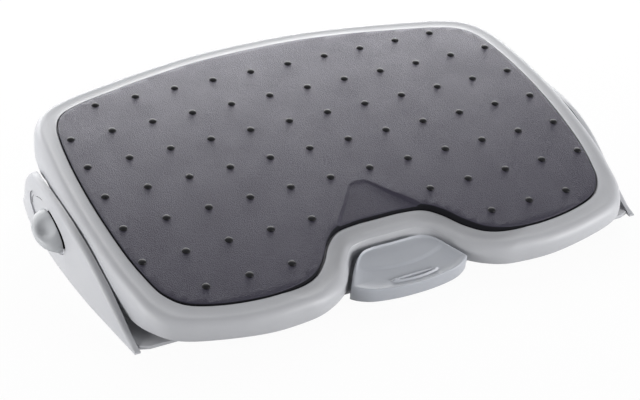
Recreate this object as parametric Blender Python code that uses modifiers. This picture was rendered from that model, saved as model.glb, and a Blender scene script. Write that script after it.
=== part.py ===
"""Ergonomic footrest: a tilting platform with a foot pedal on a base with height slides.

Metres, +Z up. The origin is on the floor under the middle of the footrest.
The user's side is -Y and the user's left is -X. The stored pose is the photographed one:
lowest height, platform tilted with its rear edge up.
"""
import math

import bmesh
import bpy
from mathutils import Matrix, Vector

# Clearances
GAP = 0.0003
OVERRUN = 0.002
MERGE = 0.00001

# Fineness
STEPS_PER_POINT = 2
ARM_PLAN_STEPS = 6
ARM_ROUND_STEPS = 4
ROUND_STEPS = 16
BALL_STEPS = 32
OVAL_STEPS = 32
SCREW_STEPS = 8
DRUM_STEPS = 21
HALF_ROUND_STEPS = 8
STUD_STEPS_AROUND = 8
STUD_STEPS_UP = 4
KNOB_STEPS_AROUND = 20
KNOB_STEPS_OUT = 7
SHARP_ANGLE = math.radians(32)

# Platform: mat, rim and tilt
TILT = math.radians(12.23)
PIVOT_Y = 0.02015
PIVOT_Z = 0.036
PIVOT_BEHIND = 0.0225
PIVOT_DROP = 0.038
PLATFORM_HALF_WIDTH = 0.2405
PLATFORM_REACH = 0.1785
RIM_WIDTH = 0.0185
CROWN_DROP = 0.00976
CROWN_RADIUS = PLATFORM_REACH ** 2 / (2 * CROWN_DROP)
CROWN_STRIP = 0.030
RIM_DEPTH = 0.022
RIM_UNDERSIDE_SHARE = 0.80
FRONT_RISE = 0.002
SHELL_WALL = 0.0025
SKIN = 0.003
NOTCH_DIP = 0.003
MAT_THICK = 0.0045
MAT_EDGE_GAP = 0.0008
MAT_EDGE_ROUND = 0.0005
HOLLOW_DEPTH = 0.0032
STUD_RADIUS = 0.0045
STUD_HEIGHT = 0.0015
STUD_SINK = 0.0002
STUD_PITCH_X_SHARE = 0.158
STUD_PITCH_Y_SHARE = 0.2303
STUD_PITCH_X = PLATFORM_HALF_WIDTH * STUD_PITCH_X_SHARE
STUD_PITCH_Y = PLATFORM_REACH * STUD_PITCH_Y_SHARE

# Screws
SCREW_SHANK_RADIUS = 0.0014
SCREW_HEAD_RADIUS = 0.0028
SCREW_HEAD_HEIGHT = 0.0018
SCREW_SOCKET_RADIUS = 0.0013
SCREW_SOCKET_DEPTH = 0.001
SCREW_HOLE_RADIUS = SCREW_SHANK_RADIUS + GAP
SCREW_BITE = 0.005
BOSS_RADIUS = 0.004
BOSS_DROP = 0.012
BOSS_ROOF = 0.0016

# Hangers, bushes and shaft
SHAFT_RADIUS = 0.004
HANGER_THICK = 0.010
HANGER_INSET = 0.022
HANGER_EYE_RADIUS = 0.010
HANGER_EYE_START = math.radians(200)
HANGER_EYE_SWEEP = math.radians(140)
HANGER_FLANGE_THICK = 0.0037
HANGER_FLANGE_WIDTH = 0.0185
HANGER_HALF_LENGTH = 0.0185
HANGER_SCREW_SPREAD = 0.0125
BUSH_WALL = 0.0017
BUSH_FLANGE = 0.0015
BUSH_FLANGE_RADIUS = 0.0075
CLIP_THICK = 0.0011
CLIP_RADIUS = 0.0065
CLIP_MOUTH = math.radians(40)
CLIP_GROOVE_DEPTH = 0.0008
CLIP_PLACE = PLATFORM_HALF_WIDTH - HANGER_INSET + GAP

# Brake drum and pad
DRUM_RADIUS = 0.011
DRUM_HALF_WIDTH = 0.009
DRUM_BEVEL = 0.0005
DRUM_PIN_RADIUS = 0.0012
PAD_HALF_ARC = math.radians(40)
PAD_TOP_DROP = 0.0223

# Foot pedal, its pin, lever, bracket and spring
PEDAL_REAR_SHARE = 0.6807
PEDAL_WIDTH_SHARE = 0.2183
PEDAL_LENGTH_SHARE = 0.2437
PEDAL_MIDDLE_SHARE = 0.55
PEDAL_GRIP_SHARE = 0.78
PEDAL_REAR_Y = -PLATFORM_REACH * PEDAL_REAR_SHARE
PEDAL_HALF_WIDTH = PLATFORM_HALF_WIDTH * PEDAL_WIDTH_SHARE
PEDAL_LENGTH = PLATFORM_REACH * PEDAL_LENGTH_SHARE
PEDAL_SINK = 0.009
PEDAL_BOTTOM_DROP = 0.031
PEDAL_WALL = 0.0026
PEDAL_DECK_DROP = 0.021
PEDAL_DISH = 0.0028
PEDAL_GRIP_HALF_WIDTH = 0.021
PEDAL_GRIP_HALF_LENGTH = 0.0045
PEDAL_GRIP_HEIGHT = 0.002
PEDAL_PIN_BEHIND = 0.0175
PEDAL_PIN_Y = PEDAL_REAR_Y + PEDAL_PIN_BEHIND
PEDAL_PIN_DROP = 0.023
PEDAL_PIN_RADIUS = 0.0022
PEDAL_PIN_HEAD_RADIUS = 0.0036
PEDAL_PIN_HEAD = 0.0016
LEVER_HALF_WIDTH = 0.012
LEVER_REACH = 0.0285
LEVER_FRONT_Y = PEDAL_REAR_Y - LEVER_REACH
LEVER_TAIL = 0.0115
LEVER_REAR_Y = PIVOT_BEHIND + LEVER_TAIL
LEVER_THICK = 0.0036
LEVER_TOP_DROP = 0.018
LEVER_EYE_RADIUS = 0.006
LEVER_SCREW_AHEAD = 0.0065
LEVER_SCREW_Y = PEDAL_REAR_Y - LEVER_SCREW_AHEAD
LEVER_SCREW_X = 0.007
LEVER_SCREW_BITE = 0.003
PEDAL_BRACKET_THICK = 0.003
PEDAL_BRACKET_HALF_WIDTH = 0.032
PEDAL_BRACKET_AHEAD = 0.0065
PEDAL_BRACKET_FRONT_Y = PEDAL_PIN_Y - PEDAL_BRACKET_AHEAD
PEDAL_BRACKET_BEHIND = 0.018
PEDAL_BRACKET_REAR_Y = PEDAL_PIN_Y + PEDAL_BRACKET_BEHIND
PEDAL_BRACKET_SCREW_X = 0.026
PEDAL_BRACKET_SCREW_BEHIND = 0.006
PEDAL_BRACKET_SCREW_Y = PEDAL_PIN_Y + PEDAL_BRACKET_SCREW_BEHIND
PEDAL_EAR_BOTTOM_DROP = 0.029
SPRING_BEHIND = 0.044
SPRING_Y = PEDAL_PIN_Y + SPRING_BEHIND
SPRING_RADIUS = 0.0042
SPRING_WIRE_RADIUS = 0.0006
SPRING_TURNS = 3
SPRING_SPIGOT_HEIGHT = 0.003
SPRING_STEPS_PER_TURN = 12

# Side arms
ARM_SIDE_GAP = 0.0015
ARM_DEPTH = 0.0103
ARM_HEIGHT = 0.062
ARM_HALF_LENGTH = 0.1365
ARM_CENTRE_Y = -0.00535
ARM_EDGE_ROUND = 0.0055
ARM_EDGE_ROUND_SHARE = 0.6
ARM_WALL = 0.0025
ARM_SOLID_STEPS = 3
ARM_INNER_X = PLATFORM_HALF_WIDTH + ARM_SIDE_GAP
TRACK_Y = 0.03395
TRACK_Z = 0.031
TRACK_HALF_LENGTH = 0.048
TRACK_HALF_HEIGHT = 0.019
TRACK_RIM = 0.003
TRACK_FLOOR = 0.002
TRACK_DEPTH = 0.005
TRACK_FLOOR_X = ARM_INNER_X + TRACK_DEPTH
TAB_LENGTH = 0.014
TAB_THICK = 0.003
TAB_INSET = 0.0165
TAB_INNER_X = PLATFORM_HALF_WIDTH - TAB_INSET
TAB_SCREW_INSET = 0.0105
TAB_SCREW_X = PLATFORM_HALF_WIDTH - TAB_SCREW_INSET
FRONT_TAB_SHARE = 0.4374
REAR_TAB_SHARE = 0.7495
FRONT_TAB_Y = ARM_CENTRE_Y - ARM_HALF_LENGTH * FRONT_TAB_SHARE
REAR_TAB_Y = ARM_CENTRE_Y + ARM_HALF_LENGTH * REAR_TAB_SHARE

# Base plate and feet
FOOT_PROUD = 0.0006
FOOT_RADIUS = 0.008
FOOT_THICK = 0.0017
PLATE_THICK = 0.003
PLATE_TOP = FOOT_PROUD + PLATE_THICK
PLATE_FRONT_SHARE = 0.9868
PLATE_REAR_SHARE = 0.8813
PLATE_FRONT_Y = ARM_CENTRE_Y - ARM_HALF_LENGTH * PLATE_FRONT_SHARE
PLATE_REAR_Y = ARM_CENTRE_Y + ARM_HALF_LENGTH * PLATE_REAR_SHARE
BEAM_HEIGHT = 0.0104
BEAM_WALL = 0.0025
BEAM_DEPTH = 0.026
FRONT_BEAM_BEHIND = 0.01445
FRONT_BEAM_Y = PEDAL_REAR_Y + FRONT_BEAM_BEHIND
REAR_BEAM_INSET = 0.032
REAR_BEAM_Y = PLATE_REAR_Y - REAR_BEAM_INSET
RIB_THICK = 0.003
RIB_HEIGHT = 0.006
RIB_SHARE = 0.4574
RIB_X = PLATFORM_HALF_WIDTH * RIB_SHARE
FRONT_FOOT_INSET_Y = 0.017
FRONT_FOOT_Y = PLATE_FRONT_Y + FRONT_FOOT_INSET_Y
REAR_FOOT_INSET_Y = 0.046
REAR_FOOT_Y = PLATE_REAR_Y - REAR_FOOT_INSET_Y
FRONT_FOOT_INSET_X = 0.0355
FRONT_FOOT_X = PLATFORM_HALF_WIDTH - FRONT_FOOT_INSET_X
REAR_FOOT_INSET_X = 0.0555
REAR_FOOT_X = PLATFORM_HALF_WIDTH - REAR_FOOT_INSET_X

# Height slides: guide posts, lift blocks, wedges and knobs
LIFT_TRAVEL = 0.012
SLIDE_TRAVEL = 0.036
RAMP_SLOPE = LIFT_TRAVEL / SLIDE_TRAVEL
SLIDE_PLATE_THICK = 0.003
SLIDE_PLATE_TOP = 0.040
SLIDE_PLATE_OUTER_X = TRACK_FLOOR_X - TRACK_FLOOR - GAP
SLIDE_PLATE_INNER_X = SLIDE_PLATE_OUTER_X - SLIDE_PLATE_THICK
POST_INSET = 0.020
POST_X = PLATFORM_HALF_WIDTH - POST_INSET
POST_THICK = 0.004
POST_HALF_LENGTH = 0.025
POST_TOP = 0.047
POST_SLOT_FLOOR = 0.0305
POST_FLANGE = 0.0145
POST_FLANGE_THICK = 0.0035
POST_SCREW_INSET = 0.028
POST_SCREW_X = PLATFORM_HALF_WIDTH - POST_SCREW_INSET
POST_SCREW_SPREAD = 0.017
POST_RIB_THICK = 0.0042
POST_RIB_LOW = 0.029
BLOCK_INSET = 0.0145
BLOCK_X = PLATFORM_HALF_WIDTH - BLOCK_INSET
BLOCK_OUTER_X = SLIDE_PLATE_INNER_X - GAP - SCREW_HEAD_HEIGHT - GAP
BLOCK_HALF_LENGTH = 0.008
BLOCK_TOP = 0.009
RAMP_AT_PIVOT = 0.012
WEDGE_FRONT = 0.036
WEDGE_REAR = 0.010
KNOB_Y = 0.01545
KNOB_Z = 0.0325
KNOB_HALF_LENGTH = 0.026
KNOB_HALF_HEIGHT = 0.0115
KNOB_REACH = 0.0225
KNOB_LEAN = math.radians(10)
KNOB_LAST_ANGLE = math.radians(82)
KNOB_TAPER_SHARE = 0.6
KNOB_LENGTH_POWER = 0.8
KNOB_HEIGHT_POWER = 0.35
KNOB_DISH_RADIUS = 0.022
KNOB_DISH_DEPTH = 0.003
# Where the dish sits: shares of the knob's reach, half length and half height.
KNOB_DISH_SHARES = (0.62, -0.30, 0.48)
STEM_AHEAD = 0.018
STEM_HALF_LENGTH = 0.0042
STEM_HALF_HEIGHT = 0.0025
KNOB_SCREW_HEAD_RADIUS = 0.004

# Outlines: half of each, from the middle of the rear edge round the right to the front,
# as shares of PLATFORM_HALF_WIDTH and PLATFORM_REACH.
RIM_OUTLINE_SHARES = [
    (0.000, 1.000), (0.216, 0.989), (0.441, 0.944), (0.649, 0.885), (0.807, 0.829), (0.906, 0.756),
    (0.965, 0.627), (0.990, 0.403), (1.000, 0.146), (0.998, -0.123), (0.983, -0.403), (0.961, -0.594),
    (0.934, -0.742), (0.868, -0.855), (0.728, -0.917), (0.574, -0.947), (0.441, -0.941), (0.345, -0.908),
    (0.264, -0.829), (0.206, -0.734), (0.158, -0.672), (0.094, -0.656), (0.000, -0.654),
]
MAT_OUTLINE_SHARES = [
    (0.000, 0.896), (0.216, 0.885), (0.424, 0.843), (0.622, 0.782), (0.762, 0.731), (0.846, 0.672),
    (0.890, 0.560), (0.911, 0.370), (0.921, 0.140), (0.919, -0.112), (0.904, -0.381), (0.880, -0.560),
    (0.852, -0.672), (0.792, -0.756), (0.674, -0.807), (0.532, -0.829), (0.407, -0.821), (0.320, -0.784),
    (0.262, -0.711), (0.216, -0.616), (0.166, -0.549), (0.091, -0.527), (0.000, -0.524),
]
# The bare hollow of the mat at the notch, half, as shares of the same two sizes. It falls from its
# first point down to HOLLOW_DEPTH at its last.
HOLLOW_OUTLINE_SHARES = [
    (0.025, -0.305), (0.046, -0.331), (0.089, -0.403), (0.137, -0.482), (0.168, -0.540), (0.190, -0.590),
]
# Where the rim dips at the notch: its middle and its half length as shares of PLATFORM_REACH, and
# its half width as a share of PLATFORM_HALF_WIDTH.
NOTCH_DIP_SHARES = (-0.706, 0.336, 0.603)
# The rim's section: shares of the way from mat edge to outer wall, and of RIM_DEPTH downwards.
RIM_SECTION_SHARES = [
    (0.12, 0.060), (0.55, 0.045), (0.75, 0.085), (0.88, 0.180), (0.97, 0.320), (1.00, 0.460), (1.00, 1.000),
]
# The foot pedal's outline, half, as shares of PEDAL_HALF_WIDTH and PEDAL_LENGTH behind its rear edge.
PEDAL_OUTLINE_SHARES = [
    (0.00, 0.00), (0.42, 0.00), (0.63, 0.08), (0.82, 0.33), (0.99, 0.64), (1.00, 0.74), (0.76, 0.90),
    (0.38, 0.98), (0.00, 1.00),
]
# The pedal's top: shares of the outline's size and of PEDAL_DISH downwards.
PEDAL_TOP_SHARES = [
    (1.000, 1.00), (0.985, 0.35), (0.955, 0.00), (0.900, 0.25), (0.780, 0.75), (0.520, 1.00), (0.240, 1.05),
]
# A side arm's outer face in plan: shares of ARM_HALF_LENGTH and of ARM_DEPTH outside the inner face.
ARM_PLAN_SHARES = [
    (-1.000, -0.06), (-0.692, 0.39), (-0.326, 0.83), (0.040, 1.00), (0.333, 0.92), (0.663, 0.58),
    (1.000, -0.10),
]
ARM_INNER_SHARES = [(-1.00, -0.80), (-0.75, -0.48), (-0.48, 0.00), (0.72, 0.00), (1.00, -0.90)]
# A side arm's top edge: shares of ARM_HALF_LENGTH and of ARM_HEIGHT.
ARM_TOP_SHARES = [
    (-1.000, 0.040), (-0.992, 0.100), (-0.935, 0.170), (-0.868, 0.242), (-0.773, 0.374), (-0.678, 0.500),
    (-0.546, 0.653), (-0.399, 0.774), (-0.216, 0.876), (-0.033, 0.935), (0.150, 0.981), (0.333, 1.000),
    (0.443, 0.994), (0.553, 0.968), (0.626, 0.908), (0.700, 0.823), (0.758, 0.747), (0.810, 0.661),
    (0.854, 0.581), (0.898, 0.484), (0.934, 0.371), (0.971, 0.226), (0.993, 0.097), (1.000, 0.040),
]
# The base plate's edge: shares of ARM_INNER_X and of the way from front edge to rear edge.
PLATE_EDGE_SHARES = [
    (0.930, 0.000), (0.962, 0.012), (0.965, 0.070), (0.986, 0.110), (1.000, 0.210), (1.010, 0.390),
    (1.010, 0.760), (1.000, 0.900), (0.962, 0.985), (0.930, 1.000),
]
# The studs: row number from the mat's middle, and first and last column out from the middle.
STUD_ROWS = [(3, 0, 4), (2, 0, 5), (1, 0, 5), (0, 0, 5), (-1, 0, 5), (-2, 1, 5), (-3, 2, 4)]

for old in list(bpy.data.objects):
    bpy.data.objects.remove(old)
PARTS = bpy.data.collections.new("ergonomic_footrest")
CUTTERS = bpy.data.collections.new("cutters")
bpy.context.scene.collection.children.link(PARTS)
bpy.context.scene.collection.children.link(CUTTERS)


def material(name, colour, roughness, metallic=0.0):
    """A plain Principled material."""
    made = bpy.data.materials.new(name)
    made.use_nodes = True
    shader = made.node_tree.nodes["Principled BSDF"]
    shader.inputs["Base Color"].default_value = (*colour, 1.0)
    shader.inputs["Roughness"].default_value = roughness
    shader.inputs["Metallic"].default_value = metallic
    return made


def solid(name, shape):
    """A new object, not yet in a collection, from a finished bmesh."""
    bmesh.ops.recalc_face_normals(shape, faces=shape.faces)
    mesh = bpy.data.meshes.new(name)
    shape.to_mesh(mesh)
    shape.free()
    return bpy.data.objects.new(name, mesh)


def part(made, look, parent=None):
    """Put an object among the parts, with its material and its parent."""
    PARTS.objects.link(made)
    made.data.materials.clear()
    made.data.materials.append(look)
    made.parent = parent
    made.data.shade_smooth()
    made.data.set_sharp_from_angle(angle=SHARP_ANGLE)
    return made


def boolean(target, other, operation):
    """Cut a part with another shape or join that shape to it. The shape goes among the cutters."""
    if other.name not in CUTTERS.objects:
        CUTTERS.objects.link(other)
    other.hide_render = True
    other.display_type = "WIRE"
    if other.parent is None:
        other.parent = target.parent
    step = target.modifiers.new(other.name, "BOOLEAN")
    step.operation = operation
    step.solver = "EXACT"
    step.object = other


def cut(target, *others):
    """Take shapes away from a part."""
    for other in others:
        boolean(target, other, "DIFFERENCE")


def join(target, *others):
    """Melt shapes into a part."""
    for other in others:
        boolean(target, other, "UNION")


def box(name, low, high):
    """A box between two corners, its origin at its middle."""
    low, high = Vector(low), Vector(high)
    shape = bmesh.new()
    bmesh.ops.create_cube(shape, size=1)
    bmesh.ops.scale(shape, vec=high - low, verts=shape.verts)
    made = solid(name, shape)
    made.location = (low + high) / 2
    return made


def rod(name, radius, centre, length, axis="Z", steps=ROUND_STEPS):
    """A cylinder along an axis, its origin at its middle."""
    shape = bmesh.new()
    bmesh.ops.create_cone(shape, cap_ends=True, segments=steps, radius1=radius, radius2=radius, depth=length)
    made = solid(name, shape)
    made.location = centre
    made.rotation_euler = turn_to(axis)
    return made


def turn_to(axis):
    """The rotation that lays the Z axis along another axis."""
    quarter = math.pi / 2
    return {"X": (0, quarter, 0), "-X": (0, -quarter, 0), "Y": (-quarter, 0, 0), "Z": (0, 0, 0)}[axis]


def ellipsoid(name, centre, radii, steps=ROUND_STEPS):
    """A ball stretched to three radii."""
    shape = bmesh.new()
    bmesh.ops.create_uvsphere(shape, u_segments=steps, v_segments=steps // 2, radius=1)
    bmesh.ops.scale(shape, vec=Vector(radii), verts=shape.verts)
    made = solid(name, shape)
    made.location = centre
    return made


def plain_mesh(made):
    """Turn a curve object into a welded mesh object in the same place."""
    CUTTERS.objects.link(made)
    bpy.context.view_layer.update()
    graph = bpy.context.evaluated_depsgraph_get()
    mesh = bpy.data.meshes.new_from_object(made.evaluated_get(graph))
    shape = bmesh.new()
    shape.from_mesh(mesh)
    bmesh.ops.remove_doubles(shape, verts=shape.verts, dist=MERGE)
    bmesh.ops.transform(shape, matrix=made.matrix_world, verts=shape.verts)
    name = made.name
    bpy.data.objects.remove(made)
    return solid(name, shape)


def slab(name, outline, low, high, across="Z"):
    """A flat outline between two levels of an axis: (x, y) across Z, or (y, z) across X."""
    curve = bpy.data.curves.new(name, "CURVE")
    curve.dimensions = "2D"
    curve.fill_mode = "BOTH"
    curve.extrude = abs(high - low) / 2
    spline = curve.splines.new("POLY")
    spline.points.add(len(outline) - 1)
    for point, (across_point, up_point) in zip(spline.points, outline):
        point.co = (across_point, up_point, 0, 1)
    spline.use_cyclic_u = True
    made = plain_mesh(bpy.data.objects.new(name, curve))
    if across == "X":
        made.data.transform(Matrix(((0, 0, 1, 0), (1, 0, 0, 0), (0, 1, 0, 0), (0, 0, 0, 1))))
        made.location.x = (low + high) / 2
    else:
        made.location.z = (low + high) / 2
    return made


def turned(name, profile, steps=ROUND_STEPS):
    """A turned piece about Z from (radius, height) points, listed from the top axis point down."""
    shape = bmesh.new()
    points = [shape.verts.new((radius, 0, height)) for radius, height in profile]
    for upper, lower in zip(points, points[1:]):
        shape.edges.new((upper, lower))
    mesh = bpy.data.meshes.new(name)
    shape.to_mesh(mesh)
    shape.free()
    made = bpy.data.objects.new(name, mesh)
    sweep = made.modifiers.new("turn", "SCREW")
    sweep.axis = "Z"
    sweep.steps = steps
    sweep.render_steps = steps
    sweep.use_merge_vertices = True
    sweep.merge_threshold = MERGE
    sweep.use_smooth_shade = False
    return made


def loft(name, rings):
    """A closed solid through rings of equal point counts, with a flat face on each end."""
    shape = bmesh.new()
    rows = [[shape.verts.new(point) for point in ring] for ring in rings]
    for row, following in zip(rows, rows[1:]):
        for index, corner in enumerate(row):
            nearby = (index + 1) % len(row)
            shape.faces.new((corner, row[nearby], following[nearby], following[index]))
    shape.faces.new(rows[0])
    shape.faces.new(rows[-1])
    return solid(name, shape)


def smooth_curve(points, count, closed=False):
    """Points along a smooth curve through the given ones, with `count` to each stretch."""
    points = [Vector(point) for point in points]
    last = len(points) if closed else len(points) - 1
    result = []
    for index in range(last):
        if closed:
            before, start, end, after = (points[(index + step) % len(points)] for step in (-1, 0, 1, 2))
        else:
            start, end = points[index], points[index + 1]
            before = points[index - 1] if index else start + start - end
            after = points[index + 2] if index + 2 < len(points) else end + end - start
        for step in range(count):
            share = step / count
            lean_in = (end - before) / 2
            lean_out = (after - start) / 2
            blend = share * share * (3 - 2 * share)
            result.append(
                start.lerp(end, blend)
                + lean_in * (share - 2 * share ** 2 + share ** 3)
                + lean_out * (share ** 3 - share ** 2)
            )
    if not closed:
        result.append(points[-1])
    return result


def mirrored(half):
    """The whole outline from its right half, whose first and last points are on the middle line."""
    return half + [(-x, y) for x, y in reversed(half[1:-1])]


def between(table, place):
    """A value read from a table of (place, value) pairs."""
    for (start, low), (end, high) in zip(table, table[1:]):
        if place <= end:
            return low + (high - low) * (place - start) / (end - start)
    return table[-1][1]


def crown(y):
    """How far the platform's arched top lies below its middle at y, in flat strips."""
    strip = math.floor(y / CROWN_STRIP)
    near, far = strip * CROWN_STRIP, (strip + 1) * CROWN_STRIP
    low = -near * near / (2 * CROWN_RADIUS)
    high = -far * far / (2 * CROWN_RADIUS)
    return low + (high - low) * (y - near) / (far - near)


def arch(made):
    """Cut a flat solid across in strips and bend it to the crown."""
    shape = bmesh.new()
    shape.from_mesh(made.data)
    reach = math.ceil(PLATFORM_REACH / CROWN_STRIP)
    for strip in range(-reach, reach + 1):
        everything = list(shape.verts) + list(shape.edges) + list(shape.faces)
        bmesh.ops.bisect_plane(
            shape, geom=everything, dist=MERGE, plane_co=(0, strip * CROWN_STRIP, 0), plane_no=(0, 1, 0)
        )
    for corner in shape.verts:
        corner.co.z += crown(corner.co.y)
    shape.to_mesh(made.data)
    shape.free()


def platform_points(shares):
    """An outline of the platform in metres from its shares."""
    half = [(x * PLATFORM_HALF_WIDTH, y * PLATFORM_REACH) for x, y in shares]
    return smooth_curve(mirrored(half), STEPS_PER_POINT, closed=True)


LIGHT_GREY = material("light_grey_plastic", (0.56, 0.57, 0.58), 0.45)
PEDAL_GREY = material("pedal_plastic", (0.50, 0.53, 0.56), 0.4)
KNOB_GREY = material("knob_plastic", (0.27, 0.28, 0.29), 0.35)
MAT_RUBBER = material("mat_rubber", (0.055, 0.06, 0.068), 0.75)
FOOT_RUBBER = material("foot_rubber", (0.03, 0.03, 0.032), 0.8)
BRAKE_RUBBER = material("brake_rubber", (0.045, 0.04, 0.038), 0.85)
NYLON = material("white_nylon", (0.72, 0.72, 0.68), 0.4)
BRACKET_STEEL = material("zinc_plated_steel", (0.55, 0.56, 0.57), 0.38, 1.0)
SHAFT_STEEL = material("bright_steel", (0.62, 0.62, 0.63), 0.25, 1.0)
SPRING_STEEL = material("spring_steel", (0.35, 0.35, 0.36), 0.35, 1.0)

# The platform turns about an empty on the shaft's axis. Its pieces are laid out in a level frame
# whose origin is the middle of the mat's top.
tilt_axis = bpy.data.objects.new("tilt_axis", None)
tilt_axis.location = (0, PIVOT_Y, PIVOT_Z)
tilt_axis.rotation_euler = (TILT, 0, 0)
PARTS.objects.link(tilt_axis)
platform = bpy.data.objects.new("platform_frame", None)
platform.location = (0, -PIVOT_BEHIND, PIVOT_DROP)
platform.parent = tilt_axis
PARTS.objects.link(platform)
pedal_axis = bpy.data.objects.new("pedal_axis", None)
pedal_axis.location = (0, PEDAL_PIN_Y, -PEDAL_PIN_DROP)
pedal_axis.parent = platform
PARTS.objects.link(pedal_axis)
pedal_frame = bpy.data.objects.new("pedal_frame", None)
pedal_frame.location = (0, -PEDAL_PIN_Y, PEDAL_PIN_DROP)
pedal_frame.parent = pedal_axis
PARTS.objects.link(pedal_frame)

SCREW_MESHES = {}


def screw(name, place, axis, length, parent=None, head_radius=SCREW_HEAD_RADIUS):
    """A socket screw. `place` is under its head, and its shank runs from there along the axis."""
    key = (length, head_radius)
    if key not in SCREW_MESHES:
        tip = SCREW_SHANK_RADIUS / 2
        top = -SCREW_HEAD_HEIGHT
        SCREW_MESHES[key] = turned(name, [
            (0, length), (tip, length), (SCREW_SHANK_RADIUS, length - tip), (SCREW_SHANK_RADIUS, 0),
            (head_radius, 0), (head_radius, top), (SCREW_SOCKET_RADIUS, top),
            (SCREW_SOCKET_RADIUS, top + SCREW_SOCKET_DEPTH), (0, top + SCREW_SOCKET_DEPTH),
        ], SCREW_STEPS)
        made = SCREW_MESHES[key]
    else:
        made = SCREW_MESHES[key].copy()
        made.name = name
    made.location = place
    made.rotation_euler = turn_to(axis)
    PARTS.objects.link(made)
    if not made.data.materials:
        made.data.materials.append(BRACKET_STEEL)
    made.parent = parent
    return made


def hole(name, place, axis, length, parent=None, radius=SCREW_HOLE_RADIUS):
    """A cutter for a hole that is `length` long with its middle at `place`."""
    made = rod(name, radius, place, length, axis, SCREW_STEPS)
    made.parent = parent
    return made


def both_sides(build):
    """Build the left piece and the right piece of a pair."""
    for side, word in ((-1, "left"), (1, "right")):
        build(side, word)


def ring_between(inner, outer, share, level):
    """A ring part of the way from one outline to another, at a height."""
    return [(*start.lerp(end, share), level) for start, end in zip(inner, outer)]


def platform_shell():
    """The platform's moulded shell: rim, seat of the mat and hollow underside."""
    rim = platform_points(RIM_OUTLINE_SHARES)
    mat_edge = platform_points(MAT_OUTLINE_SHARES)
    seat = -MAT_THICK - GAP
    underside = seat - SKIN
    edge_share = MAT_EDGE_GAP / RIM_WIDTH
    wall_share = 1 - SHELL_WALL / RIM_WIDTH
    first_drop = RIM_SECTION_SHARES[0][1]
    rings = [ring_between(mat_edge, rim, edge_share, seat)]
    rings.append(ring_between(mat_edge, rim, edge_share, -RIM_DEPTH * first_drop))
    rings += [ring_between(mat_edge, rim, share, -RIM_DEPTH * drop) for share, drop in RIM_SECTION_SHARES]
    rings.append(ring_between(mat_edge, rim, wall_share, -RIM_DEPTH))
    shoulder = underside - SHELL_WALL
    rings.append(ring_between(mat_edge, rim, wall_share, shoulder))
    rings.append(ring_between(mat_edge, rim, RIM_UNDERSIDE_SHARE, underside))
    made = loft("platform_shell", rings)
    for corner in made.data.vertices:
        if abs(corner.co.z + RIM_DEPTH) < MERGE:
            towards_front = max(0, -corner.co.y / PLATFORM_REACH)
            corner.co.z += FRONT_RISE * towards_front
        elif corner.co.z > seat + MERGE:
            corner.co.z -= notch_dip(corner.co.x, corner.co.y)
    arch(made)
    part(made, LIGHT_GREY, platform)
    boss_top = underside + SKIN / 2
    for x, y in shell_screw_places():
        top = boss_top + crown(y)
        made_boss = rod("shell_boss", BOSS_RADIUS, (x, y, (top - BOSS_DROP) / 2), top + BOSS_DROP)
        join(made, made_boss)
    for x, y in shell_screw_places():
        top = seat - BOSS_ROOF + crown(y)
        low = -BOSS_DROP - OVERRUN
        cut(made, hole("shell_screw_hole", (x, y, (top + low) / 2), "Z", top - low))
    lever_half = LEVER_HALF_WIDTH + OVERRUN
    doorway = box(
        "lever_doorway",
        (-lever_half, PEDAL_REAR_Y - OVERRUN, -PEDAL_BOTTOM_DROP - OVERRUN),
        (lever_half, PEDAL_BRACKET_FRONT_Y, -LEVER_TOP_DROP + OVERRUN + GAP),
    )
    cut(made, doorway)
    return made


def notch_dip(x, y):
    """How far the rim sinks below the crown near the notch: most at its middle, nothing at its edge."""
    middle, half_length, half_width = NOTCH_DIP_SHARES
    across = x / (PLATFORM_HALF_WIDTH * half_width)
    along = (y / PLATFORM_REACH - middle) / half_length
    away = math.hypot(across, along)
    share = max(0, 1 - away)
    return NOTCH_DIP * share * (2 - share)


def hanger_inner_x():
    """Where the hangers' inner faces lie."""
    return PLATFORM_HALF_WIDTH - HANGER_INSET - HANGER_THICK


def hanger_screw_x():
    """Where the hangers' screws lie, in the flange inwards of the web."""
    return hanger_inner_x() - HANGER_FLANGE_WIDTH / 2


def shell_screw_places():
    """The bosses under the shell that the hangers and the pedal bracket are screwed to."""
    places = []
    for side in (-1, 1):
        for spread in (-HANGER_SCREW_SPREAD, HANGER_SCREW_SPREAD):
            places.append((side * hanger_screw_x(), PIVOT_BEHIND + spread))
        places.append((side * PEDAL_BRACKET_SCREW_X, PEDAL_BRACKET_SCREW_Y))
    return places


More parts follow.
